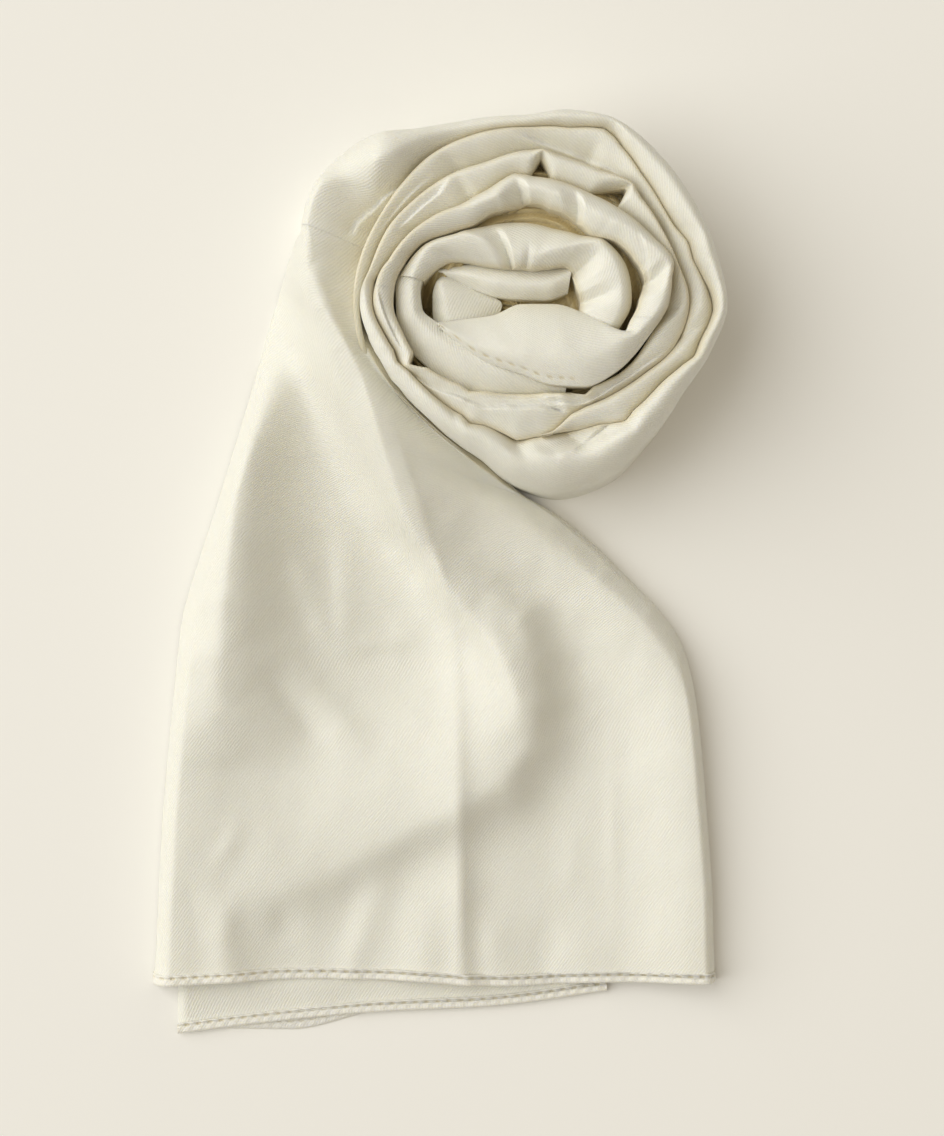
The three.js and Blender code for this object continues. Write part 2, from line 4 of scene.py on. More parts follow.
import bmesh
import bpy
import numpy as np
from bpy.props import FloatProperty, PointerProperty, StringProperty
from bpy.types import Operator, Panel, PropertyGroup
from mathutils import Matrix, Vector


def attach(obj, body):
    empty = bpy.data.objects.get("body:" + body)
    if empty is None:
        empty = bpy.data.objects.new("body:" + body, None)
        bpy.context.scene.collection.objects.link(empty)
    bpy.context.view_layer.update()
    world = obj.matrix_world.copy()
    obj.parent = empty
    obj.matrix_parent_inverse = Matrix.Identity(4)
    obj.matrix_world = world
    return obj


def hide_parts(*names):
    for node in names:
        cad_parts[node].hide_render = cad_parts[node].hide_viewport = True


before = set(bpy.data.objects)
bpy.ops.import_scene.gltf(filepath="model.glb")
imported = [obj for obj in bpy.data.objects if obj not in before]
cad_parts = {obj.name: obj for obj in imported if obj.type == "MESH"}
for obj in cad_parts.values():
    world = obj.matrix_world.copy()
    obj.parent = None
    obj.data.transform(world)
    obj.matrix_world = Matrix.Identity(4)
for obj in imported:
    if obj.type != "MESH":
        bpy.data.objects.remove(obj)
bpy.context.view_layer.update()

bl_info = {
    "name": "Folded georgette scarf",
    "version": (1, 0, 0),
    "blender": (4, 5, 0),
    "location": "3D View > Sidebar > Scarf",
    "description": "Cream georgette scarf with a wide hemmed tail and the rest wound into a loose roll",
    "category": "Add Mesh",
}

MM = 0.001
MERGED = 0.01 * MM
HALF_TURN = 180.0

# Where the middle of the table in the photograph stands from the middle of the scarf, in mm
PLACE = (12.455, 3.69)
CAMERA_HEIGHT = 700.0

# The solid model's own sizes, in mm
GAP = 0.1
ROLL_CENTRE = (15.0, 83.6)
FLOOR = 18.3
TAIL_LEVEL = 4.8
TAIL_LOWEST = 4.3
SECOND_TOP = 2.6
THIRD_TOP = 1.1
SIDE_TURN = 4.5
SECOND_INSET = 6.0
THIRD_INSET = 7.0
HEM_WIDTH = 3.2
THINNEST = 0.5
TAIL_WIDTH = 180.0

# Where turn one starts, where turn two ends and over how much it tapers, as winding angles in degrees
ONE_START = 20.6
TWO_END = 260.5
TWO_TAPER = 17.0

# A turn's section, in shares of the way from its outer foot to its inner foot
WALL_END = 0.16
CREST_AT = 0.45
SHOULDER_END = 0.86
BEFORE_WALL = 0.04
PAST_WALL = 0.02
PAST_SHOULDER = 0.05
# A narrow side of a crest is round and falls no more than this for each mm; a wide one is a soft slope
STEEPEST = 1.15
OUTER_STEEPEST = 3.6
FALL_MOST = 0.9
FACE_POWER = 1.7
ROUND_BELOW = 1.6
SOFT_ABOVE = 4.0
FACE_ROUND = 0.12
SPLAY_POWER = 1.4

# Uneven cloth: how many waves, their shortest and longest pitch in mm
SOFT_WAVES = (7, 14.0, 46.0)
WRINKLES = (9, 4.0, 12.0)
TAIL_WRINKLES = (9, 5.0, 15.0)
WALL_WAVES = (9, 7.0, 30.0)
# The heights of the soft waves and of the wrinkles in mm, and their seeds
TURN_WAVES = (0.4, 0.12, 3, 31)
INSERT_WAVES = (0.35, 0.12, 11, 37)
INSERT_TOP = (0.4, 0.9)
TAIL_WAVES = (0.4, 0.14, 5, 8)
# The creases of turn one's outer wall: how far they stand in and out in mm, their lean and seed
WALL_WAVE = 1.1
WALL_LEAN = 0.5
WALL_RISE = 0.4
WALL_SEED = 41

# Pleats grow over this share of a turn, and are this sharp
PLEAT_GROW = 0.7
PLEAT_POWER = 1.3
STEP_WIDTH = 0.35
# How near a stretch of a ridge has to be to stand alone, in mm, and how fast the others lose their say
NEAREST = 0.3
NEARNESS = -6.0

# Painted shade deep in the folds: how far at most the cloth is mixed toward the deep colour, and from where
# to where the depth counts, in mm
PAINTED_SHADE_MOST = 0.55
TURN_SHADE_DEPTH = (3.0, 17.0)
INSERT_SHADE_DEPTH = (3.0, 20.0)
# Painted warm shade beside an edge: how strong it is, how far that reaches in mm, and where turn one stands
# by the tail
EDGE_PAINTED_SHADE = 0.4
EDGE_SHADE_REACH = 1.3
TAIL_EDGE_SHADE_REACH = 2.2
BESIDE_TAIL = (300.0, 362.0)
BESIDE_TAIL_SHARE = 0.25
BESIDE_ROLL = (9.4, 10.4)

# Where turn four starts under turn three, and how far below it in mm
FOUR_START = 6.0
FOUR_START_END = 16.0
FOUR_START_DROP = 2.5
# The front fold goes on from turn four: from which winding angle, over how many degrees and over what share
FOLD_FROM = 188.0
FOLD_OVER = 8.0
FOLD_INTO = 0.9

# By the tail's sections: its last one, how its relief fades out toward the roll, and where it turns into
# turn one
TAIL_END = 17.0
FLAT_END = 12.0
FLAT_FADE = 3.0
INTO_TURN = 14.5
# The side height in mm from which the tail's right edge isn't rounded down to the floor
SIDE_OPEN = 10.0
# The last columns of the tail's grid make its tucked edge beside the roll: from which share of the grid,
# its share of the width, its reach and drop in mm, its sections, and the most of the height that it drops
TUCK_FROM = 0.97
TUCK = 0.03
TUCK_REACH = 3.4
TUCK_DROP = 5.0
TUCK_SECTIONS = (9.6, 10.6)
TUCK_MOST = 0.6

# A lower layer ends under the roll, and near its hem it rises to the layer above it. Sizes are in mm,
# and the other values are shares of its length.
LAYER_END = 9.0
LAYER_LAP = 0.4
LAYER_BLEND = 0.3
LAYER_NEAR = 0.1
LAYER_APART = 4.0
LAYER_SLOPE = 13.0
LAYER_LIFT = 1.6
LAYER_LIFT_END = (0.12, 0.3)
LAYER_DIP = 0.3
LAYER_FOLD = 0.33
LAYER_FOLD_REACH = 9.0
LAYER_FOLD_HEIGHT = 0.5
LAYER_WAVE = 0.35
LAYER_SEED = 23
LAYER_CALM = 12.0
LAYER_EDGE = 4.0
LAYER_EDGE_ROUND = 3.0

# The hidden layers inside the roll: heights and steps in mm
HEAP_OVER = 0.5
HEAP_MIDDLE = 32.0
HEAP_RING = 40.0
HEAP_LOW = 33.5
HEAP_STEP = 2.4
HEAP_PITCH = 2.9
HEAP_FOOT = FLOOR - 1.0
HEAP_BACK = (-0.1, 0.5)
HEAP_RISE = (12.0, 28.0)
HEAP_EDGE = (0.84, 0.95)
HEAP_END = (0.97, 1.0)
# Painted shade over the whole heap of layers, which lies deep between the turns
HEAP_PAINTED_SHADE = 0.85
# How the layers' rings wander: amount in mm, lobes and phase
HEAP_WANDER = ((1.4, 3, 0.6), (0.8, 5, 0.0))
# Deeper places: where they are, how wide and how deep, in mm
HEAP_HOLES = (
    (-15.5, 86, 5, 11, 9),
    (56, 74, 5, 8, 6),
)

# The hems: the pitch of the stitches, and where and how they pinch the cloth, in mm
STITCH_PITCH = 3.8
STITCH = (0.4, 0.8)
SEAM_SHARE = 0.74
SEAM_REACH = 0.42
SEAM_DIP = 0.5
SEAM_EVEN = 0.2
# Painted shade in the dimples of the stitches, as a share of the deep colour
SEAM_PAINTED_SHADE = 0.5
PUFF_PAST_SEAM = 0.17
PUFF_REACH = 0.5
PUFF_HEIGHT = 0.45
PUFF_CHANGE = 0.7
HEM_LAP = 0.7
HEM_LEVEL = 0.75
HEM_DROP = 1.5
HEM_OVER = 0.35
HEM_ROUND = 1.1
HEM_BACK = 0.96
HEM_BACK_SHARE = 0.04
HEM_BACK_DROP = 0.5
HEM_CROWDING = 0.4
TWIST_HEIGHT = 0.12
TWIST_PHASE = 1.0
TWIST_FROM = (0.1, 0.4)
TWIST_TO = (0.5, 0.7)
# The same seam on the front fold: the mean length of its rows and the seam's distance from the edge
FOLD_ROW = 10.5
FOLD_SEAM = 2.4
FOLD_SEAM_REACH = 0.5
FOLD_SEAM_DIP = 0.4
FOLD_SEAM_EVEN = 0.35
FOLD_SEAM_ROWS = (3.8, 4.6)


def table(header, *rows):
    """Rows of numbers as columns with names."""
    names = header.split()
    return {name: np.array([row[i] for row in rows], float) for i, name in enumerate(names)}


# Makers of tables that share their columns
kinks = partial(table, "at side shift before after")
pleats = partial(table, "at lean depth before after start")
fold_line = partial(table, "at distance drop back")
fold_sides = partial(table, "at ox oy ix iy ridge top out in")
hem_line = partial(table, "at x y")


def upright(header, *rows):
    """A turn whose two feet stand on the hidden layers, without splay."""
    level = np.full(len(rows), FLOOR)
    return {**table(header, *rows), "outfoot": level, "infoot": level, "splay": 0 * level}


def ridge(*rows, power=2.0):
    """A ridge along a line of places, and the power of its section."""
    return power, table("x y height left right", *rows)


# The valleys between the turns: distances from the roll's centre by winding angle, clockwise from the left
VALLEYS = table(
    "at rim first second third fourth",
    (0, 73.5, 52.6, 50.5, 46, 41),
    (15, 73.5, 52.3, 48, 43.5, 38.7),
    (30, 76.3, 51.9, 47.4, 40.8, 35.9),
    (45, 73.5, 52.8, 46.2, 37.8, 30.6),
    (60, 64.4, 54.4, 45.7, 35.3, 28),
    (75, 60.8, 54.8, 45.2, 36.5, 28.9),
    (90, 59.9, 55.2, 47, 39, 27.8),
    (105, 63.8, 57.2, 47.4, 39.4, 30),
    (120, 66, 59.2, 48.4, 39.9, 30.5),
    (135, 64.9, 55.6, 50.2, 41.9, 30.2),
    (150, 64.3, 54.2, 50.1, 45, 35.5),
    (165, 64.6, 56.1, 51, 48.2, 38.2),
    (180, 65.8, 60, 53.6, 46.8, 37.2),
    (195, 62.3, 57.2, 51, 42.2, 33.6),
    (210, 59.3, 51.2, 45, 39.6, 30),
    (225, 59.6, 49, 41, 35.8, 26),
    (240, 61.6, 45, 38.6, 32.4, 22),
    (255, 61.2, 42.6, 38.4, 29.2, 20),
    (270, 56.6, 42.4, 36, 28.6, 20),
    (285, 49.4, 40.1, 35, 29.2, 22),
    (300, 46.6, 39.6, 35, 30.8, 25),
    (315, 45.6, 39.9, 36, 33.4, 28),
    (330, 46.6, 41, 38, 36.4, 32),
    (345, 48.5, 43.4, 40.5, 37.8, 34),
    (360, 50.4, 46.2, 44, 39.8, 36),
    (375, 50.4, 44.4, 42, 39.4, 36),
)

# Sharp points in those valleys: at which winding angle, on which side, by how many mm, and how wide before
# and after it in degrees. Side 0 moves both edges, 1 the inner edge of the turn outside it and 2 the outer
# edge of the turn inside it.
KINKS = {
    "first": kinks(
        (116, 0, 2.2, 10, 7), (160, 0, 1.2, 6, 6), (182, 0, 1.3, 9, 10), (197, 0, 1, 7, 4),
        (228, 0, 1.6, 5, 8), (271, 0, 0.8, 7, 5), (292.6, 0, 1.3, 6, 5), (334, 0, 1.2, 6, 5),
    ),
    "second": kinks(
        (98.5, 0, 1, 12, 12), (134.5, 0, 1, 12, 5),
    ),
    "third": kinks(
        (8, 0, 1.6, 7, 9), (87.3, 0, 1.2, 14, 9), (98.5, 1, 6.2, 3.8, 6.2),
        (133.5, 1, 7.6, 11, 2.6), (166, 0, 1.3, 9, 6), (234.3, 1, 1.8, 6, 6),
        (299.6, 1, 1.2, 8, 6), (330.6, 1, 3.2, 6, 4),
    ),
    "fourth": kinks(
        (94, 1, 2.6, 16, 14), (171, 1, 1.6, 10, 8),
    ),
}

# How each turn stands. ridge is the crest's share of the width from the outer side, top its height, splay
# how far the outer foot stands out, and out and in how far the cloth falls from the crest to either side.
TURNS = {
    "turn_one": table(
        "at ridge top outfoot infoot splay out in",
        (20, 0.13, 38, 0, 27, 2.8, 8, 11),
        (31, 0.14, 39, 0, 26, 3.2, 8, 12),
        (38, 0.42, 40, 0, 25, 3.4, 9, 10),
        (50, 0.52, 41, 0, 24, 3.6, 10, 9),
        (62, 0.45, 42, 0, 22, 3.8, 9, 7),
        (80, 0.60, 44, 0, FLOOR, 3.8, 9, 3),
        (110, 0.50, 45, 0, FLOOR, 3.4, 9, 3.5),
        (150, 0.40, 46, 0, FLOOR, 1.6, 10, 4.5),
        (176, 0.45, 46, 0, FLOOR, 1.2, 10, 4),
        (195, 0.62, 46, 0, FLOOR, 1, 12, 1.5),
        (225, 0.66, 44, 0, 24, 1.6, 16, 2.5),
        (248, 0.66, 43, 0, 27, 1.8, 18, 4),
        (270, 0.64, 42, 0, FLOOR, 0.6, 16, 4),
        (300, 0.66, 43, 0, FLOOR, 0, 10, 3),
        (330, 0.76, 44, 0, FLOOR, 0, 7, 2),
        (360, 0.50, 46, 0, FLOOR, 0, 5, 3),
        (373, 0.20, 46, 0, FLOOR, 0, 5, 4),
    ),
    "turn_two": upright(
        "at ridge top out in",
        (-24, 0.50, 27, 3, 3),
        (-8, 0.40, 36, 3, 3),
        (9, 0.20, 43, 3, 3.5),
        (60, 0.16, 44, 3, 6),
        (80, 0.14, 44.5, 3, 7),
        (105, 0.14, 44, 3, 7),
        (125, 0.18, 43.5, 3, 4),
        (165, 0.20, 43, 3, 3.5),
        (186, 0.60, 42, 3.5, 2),
        (240, 0.75, 42, 3.5, 2),
        (266, 0.75, 42, 3.5, 2),
    ),
    "turn_three": upright(
        "at ridge top out in",
        (0, 0.18, 46, 3, 4),
        (45, 0.16, 46, 3, 4.5),
        (100, 0.30, 47, 3.5, 4.5),
        (150, 0.16, 46, 3, 5),
        (170, 0.20, 45, 3, 5),
        (188, 0.60, 44, 3.5, 2),
        (225, 0.78, 43, 4, 2),
        (270, 0.82, 43, 4.5, 2),
        (320, 0.80, 44, 4, 2),
        (350, 0.60, 46, 4, 2.5),
        (367, 0.20, 47, 3, 4),
    ),
    "turn_four": upright(
        "at ridge top out in",
        (6, 0.20, 47, 3, 4),
        (50, 0.18, 49, 3, 4.5),
        (75, 0.45, 50, 4, 5),
        (120, 0.50, 51, 4, 4.5),
        (150, 0.40, 52, 4, 4),
        (170, 0.24, 52, 4, 4),
        (196, 0.45, 50, 5, 3),
    ),
    "turn_five": upright(
        "at outer inner ridge top out in",
        (13, 38.6, 31, 0.50, 44, 3, 4),
        (30, 35.2, 25.6, 0.24, 46, 3, 5),
        (48, 29, 15.6, 0.14, 47, 3, 6),
        (70, 26, 11.4, 0.60, 48, 6, 4),
        (90, 25.2, 10.6, 0.70, 48, 6, 3.5),
        (110, 25.4, 10.8, 0.66, 48, 6, 4),
        (130, 28, 14, 0.45, 48.5, 6, 5),
        (145, 33, 18.8, 0.20, 48.5, 5, 6),
        (165, 35.4, 18.4, 0.22, 48.5, 5, 6),
        (180, 35.2, 19.2, 0.24, 48, 5, 6),
        (192, 33, 19, 0.24, 46, 5, 5),
        (204, 30, 19, 0.30, 40, 4, 4),
    ),
}

# Pleats that cross a turn: at which winding angle on its outer side, how far they lean by its inner side,
# how deep in mm, how wide before and after in degrees, and at which share of the turn's width they begin
PLEATS = {
    "turn_one": pleats(
        (34, 2, 3, 12, 9, 0), (116, 4, 2.2, 6, 5, 0.2), (160, -6, 1.4, 8, 6, 0.3),
        (236, 14, 3, 8, 10, 0.35), (262, 10, 2.6, 7, 10, 0.3), (296, 5, 1.4, 6, 8, 0.3),
    ),
    "turn_two": pleats(
        (62, 4, 2.2, 9, 5, 0), (114, 3, 2, 7, 4, 0.2), (150, 3, 1.4, 8, 6, 0.2),
        (186, 6, 2.2, 7, 6, 0),
    ),
    "turn_three": pleats(
        (28, 6, 1.2, 8, 6, 0.2), (62, 3, 2.2, 8, 4, 0), (98.5, 0, 3.2, 5.4, 2.6, 0.15),
        (134, -2, 3.2, 8, 3, 0.15), (178, 6, 2.6, 8, 6, 0), (212, 4, 1.2, 7, 6, 0.2),
        (236, 4, 1.6, 6, 6, 0.2),
    ),
    "turn_four": pleats(
        (20, 4, 1.6, 8, 6, 0.3), (87.4, 5, 6, 12, 4, 0.02), (115, 11, 4.4, 10, 4, 0.02),
        (138, 2, 1.4, 9, 7, 0.3), (166, 7, 4, 5, 9, 0),
    ),
    "turn_five": pleats(
        (30, 6, 1.6, 9, 7, 0.1), (71.5, 6, 5.2, 17, 5, 0), (98, 3, 1, 9, 8, 0.3),
        (146, 6, 4.4, 13, 11, 0.1), (170, 10, 3, 9, 9, 0.1),
    ),
}

# The inner pieces, whose two sides are given by their places: ox and oy the outer, ix and iy the inner.
# The other columns are as those of the turns.
INSERTS = {
    "front_fold": fold_sides(
        (0, 58.5, 76.9, 50.4, 77.6, 0.45, 50, 5, 3),
        (1, 55, 72, 47.6, 74.2, 0.50, 50, 5, 3),
        (2, 51.2, 67.1, 41.8, 76.4, 0.45, 50, 5, 4),
        (3, 45.2, 61.5, 35.5, 80, 0.36, 50, 4, 7),
        (4, 35.4, 56.9, 26, 83.2, 0.34, 50, 4, 8.5),
        (5, 26, 57.4, 15.7, 83.3, 0.34, 49, 3.5, 8.5),
        (6, 15, 61.2, 6.4, 79.7, 0.32, 47.5, 3.5, 7),
        (7, 4, 65, -1.6, 78.7, 0.34, 45, 3, 5),
        (8, -9, 74.4, -10.8, 77.6, 0.40, 43, 2, 3),
    ),
    "inner_end": fold_sides(
        (0, 29.6, 55.2, 30, 58.6, 0.60, 38, 3, 2),
        (1, 18.3, 54.2, 21.5, 61.8, 0.72, 40, 5, 2),
        (2, 8, 54.2, 11.5, 65, 0.76, 41.5, 5.5, 2),
        (3, -1.6, 55.6, 2.5, 69, 0.76, 42, 6, 2),
        (4, -14.2, 63.8, -5.5, 73, 0.72, 42, 6, 2),
        (5, -20.6, 70.6, -10.5, 77.2, 0.68, 42, 6, 2),
        (6, -24, 79.6, -15.6, 81.8, 0.66, 42.5, 5, 3),
        (7, -24.2, 88.4, -16.3, 87.6, 0.66, 43, 4, 3),
        (8, -22, 96.6, -15, 93, 0.60, 42, 4, 3),
    ),
    "core_fold": fold_sides(
        (0, -11, 94.8, -6.4, 91.4, 0.35, 38, 2, 3),
        (1, -0.6, 96.4, 0.6, 88.4, 0.50, 40, 4, 4),
        (2, 8.8, 95.4, 8.2, 86, 0.55, 41, 4, 4),
        (3, 17, 95, 16, 85.2, 0.55, 41, 4, 4),
        (4, 25, 95, 23.6, 85, 0.50, 41, 4, 4.5),
        (5, 31.6, 95.4, 30.4, 87.2, 0.30, 40, 3, 4),
    ),
    "core_lobe": fold_sides(
        (0, -12, 77.8, 8.6, 80.4, 0.25, 37, 4, 4),
        (1, -12.6, 82, 9.6, 84, 0.22, 38, 5, 4),
        (2, -12.6, 86.4, 5, 87.6, 0.22, 39, 5, 5),
        (3, -11.6, 90.6, -2, 90.6, 0.25, 38.5, 4, 4),
        (4, -9, 93.6, -5.4, 92.4, 0.40, 36, 2, 2),
    ),
}

# The tail, by its sections from the hem to the roll, as in the solid model: its left and right sides, the
# share of the width where its ridge stands and the ridge's height, how far the left side takes to rise,
# the ridge's widths on its left and right, and the height of the right side
TAIL = table(
    "at lx ly rx ry share ridge rise left right side",
    (0, -106.6, -135.4, 81.3, -134.2, 0.60, 5, 7, 12, 12, 0),
    (1, -105, -110, 80.4, -109, 0.60, 5, 7, 12, 12, 0),
    (2, -103.4, -82, 78.5, -82, 0.60, 5.2, 7, 12, 12, 0),
    (3, -101.3, -58, 76.5, -58, 0.60, 5.6, 7, 14, 14, 0),
    (4, -99.3, -37, 73.8, -38, 0.60, 6.2, 7, 14, 17, 0),
    (5, -97, -17, 69.6, -24.1, 0.60, 7.6, 7, 13, 22, 0),
    (6, -92.5, -1, 61.2, -12.4, 0.57, 9.6, 7, 11, 27, 0),
    (7, -88, 13, 52.8, -4, 0.545, 12.6, 7, 10, 32, 0),
    (8, -83.8, 26.1, 42.8, 6, 0.49, 16, 8, 10, 36, 0),
    (9, -78.5, 43.5, 28.4, 17.8, 0.46, 19.6, 9, 11, 38, 1),
    (10, -72.8, 62.5, 12.9, 26.4, 0.435, 23.6, 12, 13, 38, 8),
    (11, -68, 80, -1.6, 36.4, 0.39, 28, 20, 16, 32, 13.5),
    (12, -64.5, 91.5, -14.2, 46.4, 0.37, 31.5, 20, 20, 25, 18),
    (13, -62.4, 98, -25.6, 58, 0.36, 34, 15, 30, 20, 22.5),
    (14, -60.8, 102.3, -33.6, 71.2, 0.355, 35.5, 14, 40, 15, 26),
    (15, -59.5, 105.6, -37.2, 84, 0.34, 36.8, 10.5, 40, 13, 27),
    (16, -58.3, 108.4, -37.6, 94.5, 0.27, 37.6, 6.7, 40, 12, 27),
    (17, -57, 109.4, -34.4, 101.2, 0.21, 38, 4.5, 40, 11, 27),
)

# A soft ridge that crosses turn one where the tail goes into the roll
NECK_RIDGE = ridge(
    (-25.5, 146, 0, 6, 14), (-26.5, 138, 6, 7, 16), (-28, 128, 8, 8, 16), (-30, 118, 5.5, 7, 14),
    (-32.5, 108, 0, 6, 12),
)

# The shallow fold that crosses the lower side of turn one
LOWER_FOLD = ridge(
    (18, 38.6, 0, 2.4, 2.4), (26, 38, -2.2, 2.4, 2.4), (34, 40.2, -3, 2.6, 2.6),
    (42, 43, -2.8, 2.6, 2.6), (49, 45.6, -1.6, 2.4, 2.4), (54, 49, 0, 2.4, 2.4),
)

# The tail's relief: ridges along lines of places, with x, y, height, and the widths on the left and right
# in the picture, all in mm. The power is 2 for a round top and 1 for a sharp one.
RELIEF = {
    "left_puff": ridge(
        (-58, 88, 0, 5, 10), (-66, 66, 3, 5, 11), (-72.5, 46, 3.4, 6, 12), (-79, 23, 3.4, 6, 14),
        (-86, -4, 4, 7, 18), (-91, -26, 6.4, 9, 24), (-95, -52, 8.4, 10, 30),
        (-97.5, -84, 8.4, 10, 33), (-99, -112, 7, 10, 30), (-100.5, -138, 5, 9, 26),
    ),
    "left_bank": ridge(
        (-60, 74, 0, 8, 11), (-68, 56, 6.5, 8, 12), (-74, 36, 11, 9, 14), (-77, 12, 13.5, 10, 19),
        (-79, -10, 13.5, 12, 21), (-80, -28, 10, 13, 22), (-80, -46, 5, 14, 22),
        (-80, -66, 0, 14, 22),
    ),
    "plateau_edge": ridge(
        (-16, 4, 0, 14, 8), (4, -8, 4, 15, 9), (14.5, -18, 7.6, 18, 10), (18, -31, 9.8, 22, 10.5),
        (19, -44, 10.8, 26, 11), (17, -57, 10.8, 32, 11.5), (9, -69, 10.2, 36, 12),
        (-5, -77, 9, 38, 12), (-18, -83, 7.6, 38, 11), (-36, -93, 6, 36, 11),
        (-62, -105, 4.4, 26, 12), (-82, -111, 1.6, 16, 12), (-92, -113, 0, 12, 10),
    ),
    "right_puff": ridge(
        (-20, 44, 0, 12, 10), (1, 22, 3, 13, 10), (24, 8, 5.4, 14, 9), (41, -5, 7.6, 16, 8),
        (55.5, -18, 8.6, 18, 8), (65, -31, 9, 21, 8), (71.5, -45, 9, 23, 8),
        (74.5, -66, 8.6, 23, 7), (77, -98, 8.2, 22, 6), (78.5, -138, 6.5, 22, 6),
    ),
    "pressed_crease": ridge(
        (-30, 60, 0, 5, 2), (-20, 30, 0.8, 5, 2), (-10.5, 0, 1, 5, 2), (-5.6, -24, 1.2, 7, 2.4),
        (-4.6, -50, 1.4, 8, 3), (-4.2, -78, 2.6, 9, 4), (-3.7, -108, 4.4, 12, 4.6),
        (-3.3, -137, 3.4, 12, 4.6),
        power=1.2,
    ),
    "main_crest": ridge(
        (-50, 96, 0, 5, 16), (-45, 84, 3.6, 5, 16), (-40, 72, 5.4, 5, 16), (-34.5, 60, 6.2, 5, 16),
        (-31, 48, 6.4, 5, 18), (-27.5, 35, 6.4, 5, 20), (-23.5, 22, 6.4, 5, 18),
        (-17.5, 9, 6.2, 5, 12), (-10, -4, 5.4, 5, 10), (0, -17, 4.8, 5.5, 9), (10, -30, 4, 5.5, 8),
        (15.5, -44, 2.8, 5.5, 8), (15, -57, 0, 6, 8),
        power=1.6,
    ),
    "near_hem_left": ridge(
        (-79, -108, 0, 6, 8), (-81, -122, 2, 6, 8), (-81, -138, 1.6, 6, 8),
    ),
    "inner_streak": ridge(
        (-44, 24, 0, 4, 6), (-43, 4, 1, 4, 7), (-42, -20, 1.2, 4, 7), (-41, -32, 0, 4, 6),
    ),
    "diagonal": ridge(
        (-66, -24, 0, 8, 5), (-54, -38, 1.4, 8, 5), (-42, -52, 1.4, 8, 5), (-34, -62, 0, 8, 5),
    ),
    "diagonal_two": ridge(
        (-70, -32, 0, 4, 4), (-61, -44, -1.1, 4, 4), (-53, -54, -0.9, 4, 4), (-46, -62, 0, 4, 4),
    ),
    "cross_crease": ridge(
        (-42, -27, 0, 3, 4), (-34, -25, 0.7, 3, 4), (-25, -25, 0.7, 3, 4), (-17, -23, 0, 3, 4),
    ),
    "upper_streak": ridge(
        (-61, 14, 0, 4, 6), (-56, -2, 1.1, 4, 6), (-50, -18, 1.1, 4, 6), (-44, -31, 0, 4, 6),
    ),
    "low_ridge": ridge(
        (-28, -99, 0, 5, 5), (-33, -112, 1, 5, 6), (-38, -126, 1, 5, 6), (-41, -138, 0.8, 5, 5),
    ),
    "dark_dip_three": ridge(
        (-74, -110, 0, 4, 5), (-76.5, -119, -0.9, 4, 5), (-79, -129, 0, 4, 5),
    ),
    "near_hem_one": ridge(
        (-15, -108, 0, 7, 6), (-16, -120, 1.2, 7, 6), (-17, -138, 1.4, 7, 6),
    ),
    "near_hem_two": ridge(
        (6, -112, 0, 4, 7), (7, -122, 1.2, 4, 7), (8, -138, 1, 4, 7),
    ),
    "near_hem_three": ridge(
        (36, -114, 0, 9, 10), (38, -128, 1, 9, 10), (38, -138, 0.9, 9, 10),
    ),
    "dark_dip_one": ridge(
        (-60, -106, 0, 4, 5), (-62, -116, -1.2, 4, 5), (-64, -126, 0, 4, 5),
    ),
    "dark_dip_two": ridge(
        (24, -114, 0, 5, 5), (24.5, -126, -0.9, 5, 5), (24, -138, -0.4, 5, 5),
    ),
    "left_streak": ridge(
        (-76, -84, 0, 2.5, 4), (-81, -92, 0.8, 2.5, 4), (-86, -98, 0, 2.5, 4),
    ),
    "fine_streak_one": ridge(
        (46, -46, 0, 2, 3), (46.5, -90, 0.4, 2, 3), (48, -126, 0, 2, 3),
        power=1.3,
    ),
    "fine_streak_two": ridge(
        (34, -84, 0, 3, 4), (33, -100, 0.5, 3, 4), (32, -112, 0, 3, 4),
        power=1.5,
    ),
}

# The far edges of the hems, from left to right: the share of the hem's length, and x and y in mm
TOP_HEM = hem_line(
    (0, -106.8, -139), (0.25, -58, -136.9), (0.45, -24, -137.4), (0.6, 10, -139.2),
    (0.8, 48, -138), (1, 81.4, -137.7),
)
SECOND_HEM = hem_line(
    (0, -98.3, -155.8), (0.2, -72, -152.4), (0.45, -32, -148.5), (0.7, 6, -146.6), (1, 45, -141.4),
)
THIRD_HEM = hem_line(
    (0, -82, -154.2), (0.5, -60, -154.4), (1, -38, -149.6),
)


def between(rows, column, at):
    """Values between the rows of a table: smooth, and never past the values on either side."""
    x = rows["at"]
    y = rows[column]
    at = np.clip(np.asarray(at, float), x[0], x[-1])
    slope = np.diff(y) / np.diff(x)
    tangent = np.zeros(len(x))
    tangent[0] = slope[0]
    tangent[-1] = slope[-1]
    for i in range(1, len(x) - 1):
        product = slope[i - 1] * slope[i]
        tangent[i] = 0.0 if product <= 0 else 2 * product / (slope[i - 1] + slope[i])
    i = np.clip(np.searchsorted(x, at, side="left") - 1, 0, len(x) - 2)
    span = x[i + 1] - x[i]
    t = (at - x[i]) / span
    rise = t * t * (3 - 2 * t)
    bend = t * (1 - t) * (1 - t) * tangent[i] - t * t * (1 - t) * tangent[i + 1]
    return y[i] * (1 - rise) + y[i + 1] * rise + span * bend


def around(at, distance):
    """The place at a winding angle and a distance from the roll's centre."""
    angle = np.radians(HALF_TURN - at)
    return ROLL_CENTRE[0] + distance * np.cos(angle), ROLL_CENTRE[1] + distance * np.sin(angle)


def smooth(low, high, value):
    """0 below low, 1 above high and a soft rise between them."""
    t = np.clip((value - low) / (high - low), 0, 1)
    return t * t * (3 - 2 * t)


def tent(offset, before, after):
    """1 at offset 0, falling straight to 0 at -before and after."""
    return np.clip(1 - np.where(offset < 0, -offset / before, offset / after), 0, 1)


def valley(line, side, at):
    """The distance of a valley line from the roll's centre, with the kinks of one side."""
    distance = between(VALLEYS, line, at)
    kink = KINKS.get(line)
    if kink is not None:
        for i, where in enumerate(kink["at"]):
            if kink["side"][i] in (0, side):
                point = tent(at - where, kink["before"][i], kink["after"][i])
                distance = distance + kink["shift"][i] * point
    return distance


